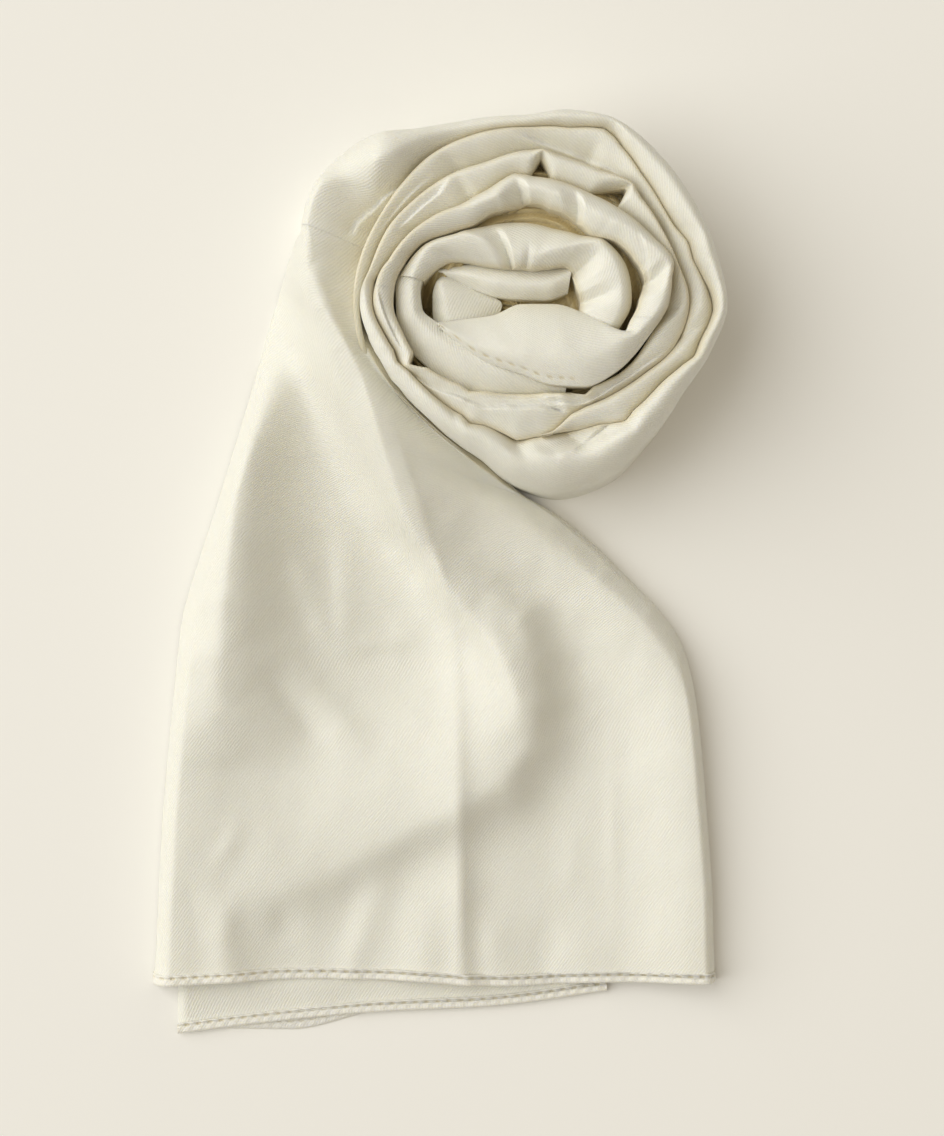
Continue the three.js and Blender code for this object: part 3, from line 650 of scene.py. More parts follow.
def side_fall(q, drop, width, least_round):
    """The fall of one side of a crest at shares q of its width."""
    round_share = 1 - (1 - least_round) * smooth(ROUND_BELOW, SOFT_ABOVE, width)
    arc = 1 - np.sqrt(np.clip(1 - q * q, 0, 1))
    return drop * (round_share * arc + (1 - round_share) * q ** FACE_POWER)


def section(p, width, shape, free=False):
    """The section of a turn at shares p from its outer foot to its inner foot: distance and height.

    A free turn is the outermost one, whose outer side stands open.
    """
    crest = shape["ridge"] * width
    beyond = width - crest
    top = shape["top"]
    outer_steepest = OUTER_STEEPEST if free else STEEPEST
    out_drop = np.minimum(
        np.minimum(shape["out"], outer_steepest * crest), FALL_MOST * (top - shape["outfoot"])
    )
    in_drop = np.minimum(np.minimum(shape["in"], STEEPEST * beyond), FALL_MOST * (top - shape["infoot"]))
    t_wall = np.clip(p / WALL_END, 0, 1)
    t_out = np.clip((p - WALL_END) / (CREST_AT - WALL_END), 0, 1) * 0.5 * math.pi
    t_in = np.clip((p - CREST_AT) / (SHOULDER_END - CREST_AT), 0, 1) * 0.5 * math.pi
    t_foot = np.clip((p - SHOULDER_END) / (1 - SHOULDER_END), 0, 1)
    wall_s = -shape["splay"] * (1 - t_wall) ** SPLAY_POWER
    wall_z = shape["outfoot"] + (top - out_drop - shape["outfoot"]) * t_wall
    out_s = crest - crest * np.cos(t_out)
    out_z = top - side_fall(np.cos(t_out), out_drop, crest, 1.0 if free else FACE_ROUND)
    in_s = crest + beyond * np.sin(t_in)
    in_z = top - side_fall(np.sin(t_in), in_drop, beyond, FACE_ROUND)
    in_z = np.where(p > SHOULDER_END, in_z + (shape["infoot"] - in_z) * t_foot, in_z)
    s = np.where(p < WALL_END, wall_s, np.where(p < CREST_AT, out_s, in_s))
    z = np.where(p < WALL_END, wall_z, np.where(p < CREST_AT, out_z, in_z))
    return s, z


def ripple(a, b, seed, kind=SOFT_WAVES):
    """A soft uneven wave from -1 to 1 over two coordinates in mm."""
    waves, shortest, longest = kind
    rng = np.random.default_rng(seed)
    total = np.zeros(np.broadcast(a, b).shape)
    weight = 0.0
    for _ in range(waves):
        pitch = rng.uniform(shortest, longest)
        turn = rng.uniform(0, math.pi)
        phase = rng.uniform(0, 2 * math.pi)
        amount = pitch / longest
        run = a * math.cos(turn) + b * math.sin(turn)
        total = total + amount * np.sin(2 * math.pi * run / pitch + phase)
        weight += amount
    return total / weight


def uneven(a, b, waves, seed=0, kind=WRINKLES):
    """Soft waves with fine wrinkles on them, in mm."""
    soft, fine, soft_seed, fine_seed = waves
    return soft * ripple(a, b, seed + soft_seed) + fine * ripple(a, b, seed + fine_seed, kind)


def pleated(name, at, share, top_share):
    """How far the pleats of a turn lower its upper side."""
    rows = PLEATS[name]
    drop = np.zeros(np.broadcast(at, share).shape)
    for i, where in enumerate(rows["at"]):
        offset = at - where - rows["lean"][i] * share
        start = rows["start"][i]
        grow = smooth(start, min(1.0, start + PLEAT_GROW), share)
        sharp = tent(offset, rows["before"][i], rows["after"][i]) ** PLEAT_POWER
        drop = drop + rows["depth"][i] * grow * sharp
    return drop * top_share


def second_line(side, at):
    """The valley between turns two and three, which runs out to turn one where turn two ends."""
    out = smooth(TWO_END - TWO_TAPER, TWO_END, at)
    return valley("second", side, at) * (1 - out) + valley("first", side, at) * out


def turn_edges(name, at):
    """The outer and inner distance of a turn at a winding angle."""
    if name == "turn_one":
        return valley("rim", 0, at), valley("first", 1, at) + GAP / 2
    if name == "turn_two":
        outer = valley("first", 2, at) - GAP / 2
        return outer, np.minimum(second_line(1, at) + GAP / 2, outer - THINNEST)
    if name == "turn_three":
        return second_line(2, at) - GAP / 2, valley("third", 1, at) + GAP / 2
    if name == "turn_four":
        return valley("third", 2, at) - GAP / 2, valley("fourth", 1, at) + GAP / 2
    rows = TURNS[name]
    return between(rows, "outer", at), between(rows, "inner", at)


# The turns follow each other as one strip of cloth: the turn before, the angle from which its last section
# turns into this one's, the difference between the two turns' angles, and over how many degrees
FOLLOWS = {
    "turn_three": ("turn_one", 0.0, 2 * HALF_TURN, 12.0),
    "turn_four": ("turn_three", FOUR_START, 2 * HALF_TURN, 12.0),
}


def strip_place(name, at, p):
    """A place on a turn that starts with the last section of the turn before it."""
    here = turn_place(name, at, p)
    if name not in FOLLOWS:
        return here
    before, start, shift, reach = FOLLOWS[name]
    into = smooth(start, start + reach, at)
    there = turn_place(before, at + shift, p)
    return tuple(a * (1 - into) + b * into for a, b in zip(there, here))


# Fold lines that run along a turn, where the cloth on one side lies over the other: the winding angle, the
# distance from the roll's centre, drop and back. drop is the step's height, and is below 0 where the lower
# side is the outer one. back is how far it takes to recover. All but the angle are in mm.
STEPS = {
    "turn_one": (
        fold_line(
            (21, 58.6, 0, 5), (27, 58.2, -2.2, 6), (34, 56, -2.4, 6), (42, 53.8, -1.6, 5),
            (48, 52.4, 0, 4),
        ),
        fold_line(
            (231, 47, 0, 4), (238, 47.4, -1.4, 5), (247, 49, -1.2, 6), (256, 51.5, 0, 5),
        ),
    ),
    "turn_two": (
        fold_line(
            (24, 49.6, 0, 3), (40, 48.6, -1, 3), (58, 48.6, 0, 3),
        ),
        fold_line(
            (88, 52.8, 0, 5), (98, 51, -1.8, 5), (108, 50.2, -1.8, 5), (122, 50.8, -1.4, 4),
            (130, 51.6, 0, 4),
        ),
    ),
    "turn_three": (
        fold_line(
            (246, 38.4, 0, 4), (250, 36.4, 2.6, 4), (259, 33.4, 3.2, 5), (275, 32.8, 3.2, 4),
            (291, 34.8, 3, 4), (302, 35.2, 2.8, 3), (310, 36.7, 2.4, 3), (317, 38.6, 2, 3),
            (327, 40.6, 0, 3),
        ),
        fold_line(
            (252, 30.6, 0, 2), (262, 30.2, 1, 2), (280, 30.6, 1, 2), (296, 33, 0, 2),
        ),
        fold_line(
            (198, 48.6, 0, 3), (208, 43.6, 1.6, 3), (222, 39.4, 2.2, 3), (236, 37.6, 2.2, 3),
            (246, 34.6, 1.8, 2), (256, 31.6, 0, 2),
        ),
        fold_line(
            (30, 44.6, 0, 4), (38, 43.2, -1.4, 4), (52, 42.4, -2, 4), (60, 44.4, 0, 4),
        ),
        fold_line(
            (336, 39.6, 0, 2), (346, 41, 1.6, 3), (357, 43, 1.6, 3), (365, 44.6, 0, 3),
        ),
    ),
    "turn_four": (
        fold_line(
            (148, 42.4, 0, 3), (160, 41.6, 1.2, 3), (170, 40.6, 1.4, 3), (178, 39.4, 0, 3),
        ),
    ),
}


def stepped(name, at, distance):
    """How far the fold lines of a turn lower a place."""
    drop = np.zeros(np.broadcast(at, distance).shape)
    for rows in STEPS.get(name, ()):
        inside = between(rows, "distance", at) - distance
        height = between(rows, "drop", at)
        lower = np.where(height > 0, inside, -inside)
        recovery = np.exp(-np.clip(lower, 0, None) / between(rows, "back", at))
        drop = drop + np.abs(height) * (smooth(-STEP_WIDTH, STEP_WIDTH, lower) * recovery)
    return drop


def turn_place(name, at, p):
    """A place on a turn's upper side, and how deep in the folds it lies."""
    free = name == "turn_one"
    seed = len(name)
    outer, inner = turn_edges(name, at)
    keys = ("ridge", "top", "outfoot", "infoot", "splay", "out", "in")
    shape = {key: between(TURNS[name], key, at) for key in keys}
    width = outer - inner
    s, z = section(p, width, shape, free)
    along_mm = np.radians(at) * 0.5 * (outer + inner)
    if free:
        # Soft creases in the outer wall, none at its foot and its upper end
        wall = np.clip(p / WALL_END, 0, 1)
        crease = ripple(along_mm + WALL_LEAN * z, WALL_RISE * z, seed + WALL_SEED, WALL_WAVES)
        s = s + WALL_WAVE * 4 * wall * (1 - wall) * crease
    share = np.clip(s / width, 0, 1)
    rounding = smooth(WALL_END - BEFORE_WALL, WALL_END + PAST_WALL, p)
    rounding = rounding * (1 - smooth(SHOULDER_END, SHOULDER_END + PAST_SHOULDER, p))
    z = z - pleated(name, at, share, rounding)
    z = z - rounding * stepped(name, at, outer - s)
    z = z + rounding * uneven(along_mm, share * width, TURN_WAVES, seed)
    x, y = around(at, outer - s)
    if free:
        z = z + rounding * (at < HALF_TURN / 2) * ridge_height(x, y, *NECK_RIDGE)
        z = z + rounding * (at > HALF_TURN) * ridge_height(x, y, *LOWER_FOLD)
    inside = (p > CREST_AT) | (not free)
    # Painted shade: the lower a place lies below the crest, the more it is mixed toward the deep colour
    depth = np.where(inside, PAINTED_SHADE_MOST * smooth(*TURN_SHADE_DEPTH, shape["top"] - z), 0 * z)
    # Painted shade: the cloth beside each edge is mixed toward the warm deep colour, where light thrown
    # from fold to fold would warm it
    near = np.minimum(np.where(inside, np.abs(s), width), width - s)
    beside_tail = free & (at > BESIDE_TAIL[0]) & (at < BESIDE_TAIL[1]) & (p < CREST_AT)
    near = np.where(beside_tail, np.maximum(z - FLOOR, 0) * BESIDE_TAIL_SHARE, near)
    depth = np.maximum(depth, EDGE_PAINTED_SHADE * np.exp(-((near / EDGE_SHADE_REACH) ** 2)))
    if name == "turn_four":
        z = z - FOUR_START_DROP * (1 - smooth(FOUR_START, FOUR_START_END, at)) * rounding
    return x, y, z, depth


def insert_place(name, at, p):
    """A place on the upper side of one of the inner pieces."""
    rows = INSERTS[name]
    row = {key: between(rows, key, at) for key in rows if key != "at"}
    width = np.hypot(row["ix"] - row["ox"], row["iy"] - row["oy"])
    flat = np.zeros_like(width)
    s, z = section(p, width, {**row, "outfoot": flat + FLOOR, "infoot": flat + FLOOR, "splay": flat})
    x = row["ox"] + (row["ix"] - row["ox"]) * s / width
    y = row["oy"] + (row["iy"] - row["oy"]) * s / width
    rounding = smooth(*INSERT_TOP, (z - FLOOR) / (row["top"] - FLOOR))
    z = z + rounding * uneven(x, y, INSERT_WAVES, len(name))
    # Painted shade: places below the piece's top are mixed toward the deep colour
    depth = smooth(*INSERT_SHADE_DEPTH, row["top"] - z)
    if name != "front_fold":
        return x, y, z, depth
    # The scarf's other hem runs along the front fold's lower side, sewn with the same stitches
    dash = smooth(*STITCH, 0.5 + 0.5 * np.cos(2 * math.pi * at * FOLD_ROW / STITCH_PITCH))
    seam = np.exp(-(((s - FOLD_SEAM) / FOLD_SEAM_REACH) ** 2)) * smooth(*FOLD_SEAM_ROWS, at)
    z = z - FOLD_SEAM_DIP * seam * (FOLD_SEAM_EVEN + (1 - FOLD_SEAM_EVEN) * dash)
    # Painted shade in the dimples of the stitches
    depth = np.maximum(depth, SEAM_PAINTED_SHADE * seam * dash)
    # Its first part goes on from the last section of turn four
    into = smooth(0, FOLD_INTO, at)
    last = turn_place("turn_four", FOLD_FROM + FOLD_OVER * np.clip(at, 0, 1), p)
    return tuple(a * (1 - into) + b * into for a, b in zip(last, (x, y, z, depth)))


def ridge_height(x, y, power, path):
    """The height of one ridge of the relief over places x, y, shared out among its nearest stretches."""
    total = np.zeros(x.shape)
    weights = np.zeros(x.shape)
    for i in range(len(path["x"]) - 1):
        ax, ay = path["x"][i], path["y"][i]
        dx, dy = path["x"][i + 1] - ax, path["y"][i + 1] - ay
        length = dx * dx + dy * dy
        t = np.clip(((x - ax) * dx + (y - ay) * dy) / length, 0, 1)
        away = np.hypot(x - ax - t * dx, y - ay - t * dy)
        leftward = dx * (y - ay) - dy * (x - ax) > 0
        mix = {key: path[key][i] * (1 - t) + path[key][i + 1] * t for key in ("height", "left", "right")}
        # Seen from the first place, hemward, the left of the picture is on the right hand
        reach = np.where(leftward, mix["right"], mix["left"])
        weight = (away + NEAREST) ** NEARNESS
        total = total + weight * mix["height"] * np.exp(-((away / reach) ** power))
        weights = weights + weight
    return total / weights


def rounded(distance, width):
    """A round edge, from 0 at the side to 1 after the given width."""
    return np.sqrt(np.clip(1 - (1 - np.clip(distance / width, 0, 1)) ** 2, 0, 1))


def tail_place(at, share):
    """A place on the tail's upper side. Shares above 1 lie on its tucked edge."""
    at = np.asarray(at, float)
    outer_share = np.asarray(share, float)
    share = np.minimum(outer_share, 1.0)
    row = {key: between(TAIL, key, at) for key in TAIL if key != "at"}
    x = row["lx"] + (row["rx"] - row["lx"]) * share
    hemward = np.clip(1 - at, 0, 1)
    hem_y = between(TOP_HEM, "y", share) + HEM_WIDTH
    y = (row["ly"] + (row["ry"] - row["ly"]) * share) * (1 - hemward) + hem_y * hemward
    width = np.hypot(row["rx"] - row["lx"], row["ry"] - row["ly"])
    off = (share - row["share"]) * width
    bell = np.exp(-((off / np.where(off < 0, row["left"], row["right"])) ** 2))
    level = np.where(off < 0, TAIL_LEVEL, np.maximum(TAIL_LEVEL, row["side"]))
    flat = np.clip((FLAT_END - at) / FLAT_FADE, 0, 1)
    z = level + (row["ridge"] - level) * bell
    for name, (power, path) in RELIEF.items():
        fade = 1.0 if name == "main_crest" else flat
        z = z + fade * ridge_height(x, y, power, path)
    z = z + flat * uneven(x, y, TAIL_WAVES, kind=TAIL_WRINKLES)
    z = np.maximum(z, TAIL_LOWEST) * rounded(share * width, row["rise"])
    down = np.clip(1 - row["side"] / SIDE_OPEN, 0, 1)
    z = z * (1 - down + down * rounded((1 - share) * width, SIDE_TURN))
    # Beside the roll its right edge is tucked in under the turns
    tucked = np.clip((outer_share - 1) / TUCK, 0, 1) * smooth(*TUCK_SECTIONS, at)
    toward_x = ROLL_CENTRE[0] - x
    toward_y = ROLL_CENTRE[1] - y
    away = np.hypot(toward_x, toward_y)
    x = x + TUCK_REACH * tucked * toward_x / away
    y = y + TUCK_REACH * tucked * toward_y / away
    z = z - np.minimum(TUCK_DROP * tucked, z * TUCK_MOST)
    # The last sections turn into the first section of turn one
    into = smooth(INTO_TURN, TAIL_END, at)
    start = turn_place("turn_one", np.full(share.shape, ONE_START), share)
    x, y, z = (a * (1 - into) + b * into for a, b in zip((x, y, z), start))
    # Painted shade along the tail's right edge beside the roll
    edge = (1 - share) * width / TAIL_EDGE_SHADE_REACH
    beside = EDGE_PAINTED_SHADE * np.exp(-(edge ** 2)) * smooth(*BESIDE_ROLL, at)
    return x, y, z, np.maximum(beside * (1 - into), start[3] * into)


def crowded(t, amount=0.7):
    """Shares that lie closer together near 0 and 1."""
    return t - amount * np.sin(2 * math.pi * t) / (2 * math.pi)


def linear(code):
    """An sRGB hex colour as linear red, green and blue."""
    value = [int(code[i:i + 2], 16) / 255 for i in (1, 3, 5)]
    return tuple(c / 12.92 if c <= 0.04045 else ((c + 0.055) / 1.055) ** 2.4 for c in value)


def add_node(tree, kind, inputs=None, **settings):
    """A shader node with its settings, constants and links."""
    node = tree.nodes.new(kind)
    for key, value in settings.items():
        setattr(node, key, value)
    for key, value in (inputs or {}).items():
        if isinstance(value, bpy.types.NodeSocket):
            tree.links.new(value, node.inputs[key])
        else:
            node.inputs[key].default_value = value
    return node


# The ribs' slant against the cloth's width in degrees, and the wave texture's scale for a band in each mm
RIB_SLANT = 38.0
BAND_SCALE = 0.314


def georgette(name, colour, deep, settings):
    """Woven crepe of tightly twisted yarn, which gives a soft pebbly grain with faint slanting ribs.

    The cloth is sheer, so light spreads in its layers. Its colour is mixed toward the deep colour by the
    depth attribute: painted shade in folds, beside edges and in stitches.
    """
    material = bpy.data.materials.get(name)
    if material is not None:
        return material
    material = bpy.data.materials.new(name)
    material.use_nodes = True
    tree = material.node_tree
    tree.nodes.clear()
    out = add_node(tree, "ShaderNodeOutputMaterial")
    weave = add_node(tree, "ShaderNodeUVMap", uv_map="weave")
    # Slanting ribs of the crepe, one in each yarn pitch
    slant = add_node(
        tree, "ShaderNodeMapping",
        {"Vector": weave.outputs["UV"], "Rotation": (0, 0, math.radians(RIB_SLANT))},
    )
    ribs = add_node(
        tree, "ShaderNodeTexWave",
        {"Vector": slant.outputs["Vector"], "Scale": BAND_SCALE / settings.rib_pitch, "Distortion": 2.2,
         "Detail": 2.0, "Detail Scale": 2.0},
        wave_type="BANDS", bands_direction="X",
    )
    # Twisted yarns make the surface pebbly at about their own width
    pebble = add_node(
        tree, "ShaderNodeTexNoise",
        {"Vector": weave.outputs["UV"], "Scale": 1 / settings.grain_pitch, "Detail": 2.0, "Roughness": 0.6},
    )
    mixed = add_node(
        tree, "ShaderNodeMix",
        {0: settings.rib_share, 2: pebble.outputs["Fac"], 3: ribs.outputs["Fac"]}, data_type="FLOAT",
    )
    bump = add_node(
        tree, "ShaderNodeBump",
        {"Height": mixed.outputs[0], "Distance": settings.grain_height * MM, "Strength": 1.0},
    )
    # Painted shade: the depth attribute mixes the deep colour into the cloth
    depth = add_node(tree, "ShaderNodeAttribute", attribute_name="depth")
    painted_shade_mix = add_node(
        tree, "ShaderNodeMix",
        {0: depth.outputs["Fac"], 6: (*linear(colour), 1), 7: (*linear(deep), 1)}, data_type="RGBA",
    )
    # The grain also shows as very small changes of tone
    tone = add_node(
        tree, "ShaderNodeMapRange",
        {"Value": mixed.outputs[0], "From Min": 0.3, "From Max": 0.7, "To Min": 0.945, "To Max": 1.025},
    )
    toned = add_node(
        tree, "ShaderNodeMix", {0: 1.0, 6: painted_shade_mix.outputs[2], 7: tone.outputs["Result"]},
        data_type="RGBA", blend_type="MULTIPLY",
    )
    shader = add_node(
        tree, "ShaderNodeBsdfPrincipled",
        {"Base Color": toned.outputs[2], "Roughness": 0.5, "Specular IOR Level": 0.7, "Sheen Weight": 0.1,
         "Sheen Roughness": 0.5, "Normal": bump.outputs["Normal"], "Subsurface Weight": 0.3,
         "Subsurface Radius": (1.0, 0.85, 0.55), "Subsurface Scale": settings.sheer_depth * MM},
    )
    tree.links.new(shader.outputs["BSDF"], out.inputs["Surface"])
    return material


def plain(name, colour, roughness, specular=0.2):
    """A matt painted surface, even and without a pattern."""
    material = bpy.data.materials.new(name)
    material.use_nodes = True
    shader = material.node_tree.nodes["Principled BSDF"]
    shader.inputs["Base Color"].default_value = (*linear(colour), 1)
    shader.inputs["Roughness"].default_value = roughness
    shader.inputs["Specular IOR Level"].default_value = specular
    return material


def add_piece(name, data):
    """A new object at the origin with this mesh, light or camera."""
    piece = bpy.data.objects.new(name, data)
    bpy.context.scene.collection.objects.link(piece)
    return piece


def sheet_mesh(name, rows, columns, place, material, thick, laid=False):
    """A cloth sheet: a grid whose places come from place(along, across), with a wall.

    The wall of a laid sheet stays above the floor.
    """
    mesh = bpy.data.meshes.new(name)
    bm = bmesh.new()
    bmesh.ops.create_grid(bm, x_segments=columns, y_segments=rows, size=1.0)
    bm.to_mesh(mesh)
    bm.free()
    count = len(mesh.vertices)
    co = np.empty(count * 3)
    mesh.vertices.foreach_get("co", co)
    co = co.reshape(-1, 3)
    across = np.round((co[:, 0] + 1) / 2, 6)
    along = np.round((co[:, 1] + 1) / 2, 6)
    x, y, z, depth = place(along, across)
    order = np.lexsort((across, along))
    wide = len(np.unique(across))
    spots = np.stack([x, y, z], 1)
    grid = spots[order].reshape(-1, wide, 3)
    # The weave runs with the cloth: its coordinates are lengths along the sheet in mm
    step_u = np.linalg.norm(np.diff(grid, axis=1), axis=2)
    step_v = np.linalg.norm(np.diff(grid, axis=0), axis=2)
    u = np.concatenate([np.zeros((grid.shape[0], 1)), np.cumsum(step_u, 1)], 1)
    v = np.concatenate([np.zeros((1, wide)), np.cumsum(step_v, 0)], 0).mean(1, keepdims=True) + 0 * u
    uv = np.empty((count, 2))
    uv[order] = np.stack([u.ravel(), v.ravel()], 1)
    lowest = thick if laid else 0.0
    final = np.stack([(x + PLACE[0]) * MM, (y + PLACE[1]) * MM, np.maximum(z, lowest) * MM], 1)
    mesh.vertices.foreach_set("co", final.ravel())
    layer = mesh.uv_layers.new(name="weave")
    corners = np.empty(len(mesh.loops), int)
    mesh.loops.foreach_get("vertex_index", corners)
    layer.data.foreach_set("uv", uv[corners].ravel())
    attribute = mesh.attributes.new("depth", "FLOAT", "POINT")
    attribute.data.foreach_set("value", np.asarray(depth, float))
    bm = bmesh.new()
    bm.from_mesh(mesh)
    bm.normal_update()
    if sum(f.normal.z * f.calc_area() for f in bm.faces) < 0:
        bmesh.ops.reverse_faces(bm, faces=bm.faces)
    for edge in bm.edges:
        if edge.is_boundary:
            edge.smooth = False
    for face in bm.faces:
        face.smooth = True
    bm.to_mesh(mesh)
    bm.free()
    mesh.materials.append(material)
    piece = add_piece(name, mesh)
    if thick:
        wall = piece.modifiers.new("wall", "SOLIDIFY")
        wall.thickness = thick * MM
        wall.offset = -1.0
    return piece


def finish_piece(piece, node):
    """Put a piece on its body and hide the solid that it replaces."""
    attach(piece, "root")
    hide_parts(node)


class ScarfSettings(PropertyGroup):
    """Sizes and colours of the scarf."""
    cloth_colour: StringProperty(
        name="Cloth colour", default="#efede0", description="sRGB colour of the georgette"
    )
    # Painted shade: the colour mixed into the cloth deep in folds, beside edges and in stitch dimples
    painted_shade_colour: StringProperty(
        name="Deep fold colour", default="#c3ae72", description="sRGB colour deep in folds"
    )
    hem_colour: StringProperty(
        name="Hem colour", default="#f4f1e4", description="sRGB colour of the hems"
    )
    floor_colour: StringProperty(
        name="Floor colour", default="#f5f4ef", description="sRGB colour of the table"
    )
    cloth_thickness: FloatProperty(
        name="Cloth thickness", default=0.8, min=0.2, max=2.0,
        description="Thickness of the shown wall in mm",
    )
    rib_pitch: FloatProperty(
        name="Rib pitch", default=0.85, min=0.2, description="Pitch of the slanting ribs in mm"
    )
    rib_share: FloatProperty(
        name="Rib share", default=0.34, min=0.0, max=1.0, description="Share of the ribs in the grain"
    )
    grain_pitch: FloatProperty(
        name="Grain pitch", default=0.7, min=0.2, description="Pitch of the crepe grain in mm"
    )
    grain_height: FloatProperty(
        name="Grain height", default=0.2, min=0.0, description="Depth of the grain in mm"
    )
    sheer_depth: FloatProperty(
        name="Sheer depth", default=2.2, min=0.1, description="How far light spreads in the layers in mm"
    )
    detail: FloatProperty(
        name="Detail", default=1.0, min=0.3, max=2.0, description="Density of the cloth grids"
    )


def cloth_of(settings):
    return georgette("georgette_crepe", settings.cloth_colour, settings.painted_shade_colour, settings)


def hem_of(settings):
    return georgette("georgette_rolled_hem", settings.hem_colour, settings.painted_shade_colour, settings)


def steps(count, settings):
    """The number of a grid's rows or columns at the set detail."""
    return max(4, int(round(count * settings.detail)))


def tail_grid_place(along, across):
    """A place on the tail's grid, whose last columns make its tucked edge."""
    tucked = np.clip((across - TUCK_FROM) / (1 - TUCK_FROM), 0, 1)
    return tail_place(along * TAIL_END, crowded(np.minimum(across / TUCK_FROM, 1)) + TUCK * tucked)


class SCARF_OT_tail(Operator):
    """Add the tail's upper layer with its ridge, swellings and creases"""
    bl_idname = "scarf.tail"
    bl_label = "Add tail"

    def execute(self, context):
        settings = context.scene.scarf
        piece = sheet_mesh(
            "tail_cloth", steps(230, settings), steps(180, settings), tail_grid_place,
            cloth_of(settings), settings.cloth_thickness, laid=True,
        )
        finish_piece(piece, "tail_upper")
        return {"FINISHED"}


TURN_PIECES = (
    # name, first and last winding angle, sections, columns, flat size in metres
    ("turn_one", ONE_START, 360.0, 330, 56, (0.075, 0.34)),
    ("turn_two", -24.0, TWO_END, 240, 48, (0.052, 0.21)),
    ("turn_three", 0.0, 366.0, 320, 70, (0.054, 0.27)),
    ("turn_four", 6.0, 188.2, 200, 56, (0.066, 0.13)),
    ("turn_five", 13.0, 203.0, 180, 64, (0.068, 0.085)),
)


class SCARF_OT_turns(Operator):
    """Add the five turns of the roll"""
    bl_idname = "scarf.turns"
    bl_label = "Add turns"

    def execute(self, context):
        settings = context.scene.scarf
        for name, first, last, rows, columns, flat in TURN_PIECES:
            piece = sheet_mesh(
                name + "_cloth", steps(rows, settings), steps(columns, settings),
                lambda along, across: strip_place(name, first + (last - first) * along, across),
                cloth_of(settings), settings.cloth_thickness,
            )
            finish_piece(piece, name)
        return {"FINISHED"}


INSERT_PIECES = (
    # name, sections, columns, flat size in metres
    ("front_fold", 150, 70, (0.072, 0.069)),
    ("inner_end", 110, 44, (0.047, 0.068)),
    ("core_fold", 70, 40, (0.045, 0.044)),
    ("core_lobe", 50, 50, (0.052, 0.018)),
)


class SCARF_OT_inner_folds(Operator):
    """Add the folds inside the roll"""
    bl_idname = "scarf.inner_folds"
    bl_label = "Add inner folds"

    def execute(self, context):
        settings = context.scene.scarf
        for name, rows, columns, flat in INSERT_PIECES:
            last = INSERTS[name]["at"][-1]
            piece = sheet_mesh(
                name + "_cloth", steps(rows, settings), steps(columns, settings),
                lambda along, across: insert_place(name, along * last, across),
                cloth_of(settings), settings.cloth_thickness,
            )
            finish_piece(piece, name)
        return {"FINISHED"}


def layer_place(along, across, hem, top, inset):
    """A place on a flat layer under the tail."""
    at = LAYER_END * along
    left = between(TAIL, "lx", at) + inset
    right = between(TAIL, "rx", at) - inset
    hem_x = between(hem, "x", across)
    hem_y = between(hem, "y", across) + HEM_WIDTH - LAYER_LAP
    blend = smooth(0, LAYER_BLEND, along)
    x = hem_x * (1 - blend) + (left + (right - left) * across) * blend
    y = between(TAIL, "ly", at) * (1 - across) + between(TAIL, "ry", at) * across
    near = smooth(0, LAYER_NEAR, along)
    y = hem_y * (1 - near) + np.maximum(y, hem_y + LAYER_APART) * near
    lift = smooth(0, 1, np.clip((y - hem_y) / LAYER_SLOPE, 0, 1)) * (1 - smooth(*LAYER_LIFT_END, along))
    fold = np.exp(-(((across - LAYER_FOLD) * TAIL_WIDTH / LAYER_FOLD_REACH) ** 2)) * (1 - near)
    z = top - LAYER_DIP + LAYER_LIFT * lift + LAYER_FOLD_HEIGHT * fold
    side = np.minimum(across, 1 - across) * TAIL_WIDTH
    z = z + LAYER_WAVE * ripple(x, y, LAYER_SEED) * rounded(side, LAYER_CALM)
    edge = across * TAIL_WIDTH
    z = np.where(edge < LAYER_EDGE, z * rounded(edge, LAYER_EDGE_ROUND), z)
    return x, y, z, np.zeros(x.shape)


LAYERS = (
    # piece, node, hem line, height of its upper side and how far its sides stand back from the tail's
    ("layer_second", "tail_second", SECOND_HEM, SECOND_TOP, SECOND_INSET),
    ("layer_third", "tail_third", THIRD_HEM, THIRD_TOP, THIRD_INSET),
)
# The cloth of a layer is at most this share of the layer's height
LAYER_WALL = 0.8


class SCARF_OT_layers(Operator):
    """Add the two layers under the tail"""
    bl_idname = "scarf.layers"
    bl_label = "Add layers"

    def execute(self, context):
        settings = context.scene.scarf
        for name, node, hem, top, inset in LAYERS:
            piece = sheet_mesh(
                name, steps(90, settings), steps(70, settings),
                lambda along, across: layer_place(along, across, hem, top, inset),
                cloth_of(settings), min(settings.cloth_thickness, top * LAYER_WALL), laid=True,
            )
            finish_piece(piece, node)
        return {"FINISHED"}


def heap_place(along, across):
    """A place on the hidden layers' upper side, whose edges show in the roll's gaps."""
    angle = 2 * math.pi * across
    reach = valley("second", 0, (HALF_TURN - np.degrees(angle)) % (2 * HALF_TURN)) + HEAP_OVER
    distance = reach * np.sqrt(along)
    x = ROLL_CENTRE[0] + distance * np.cos(angle)
    y = ROLL_CENTRE[1] + distance * np.sin(angle)
    ring = HEAP_LOW + (HEAP_RING - HEAP_LOW) * smooth(*HEAP_BACK, np.sin(angle))
    z = HEAP_MIDDLE + (ring - HEAP_MIDDLE) * smooth(*HEAP_RISE, distance)
    z = z + (HEAP_LOW - z) * smooth(*HEAP_EDGE, distance / reach)
    layer = distance
    for amount, lobes, phase in HEAP_WANDER:
        layer = layer + amount * np.sin(lobes * angle + phase)
    z = z - HEAP_STEP * ((layer / HEAP_PITCH) % 1.0)
    for hole_x, hole_y, wide, tall, deep in HEAP_HOLES:
        z = z - deep * np.exp(-(((x - hole_x) / wide) ** 2) - ((y - hole_y) / tall) ** 2)
    z = z + (HEAP_FOOT - z) * smooth(*HEAP_END, distance / reach)
    return x, y, z, np.full(x.shape, HEAP_PAINTED_SHADE)


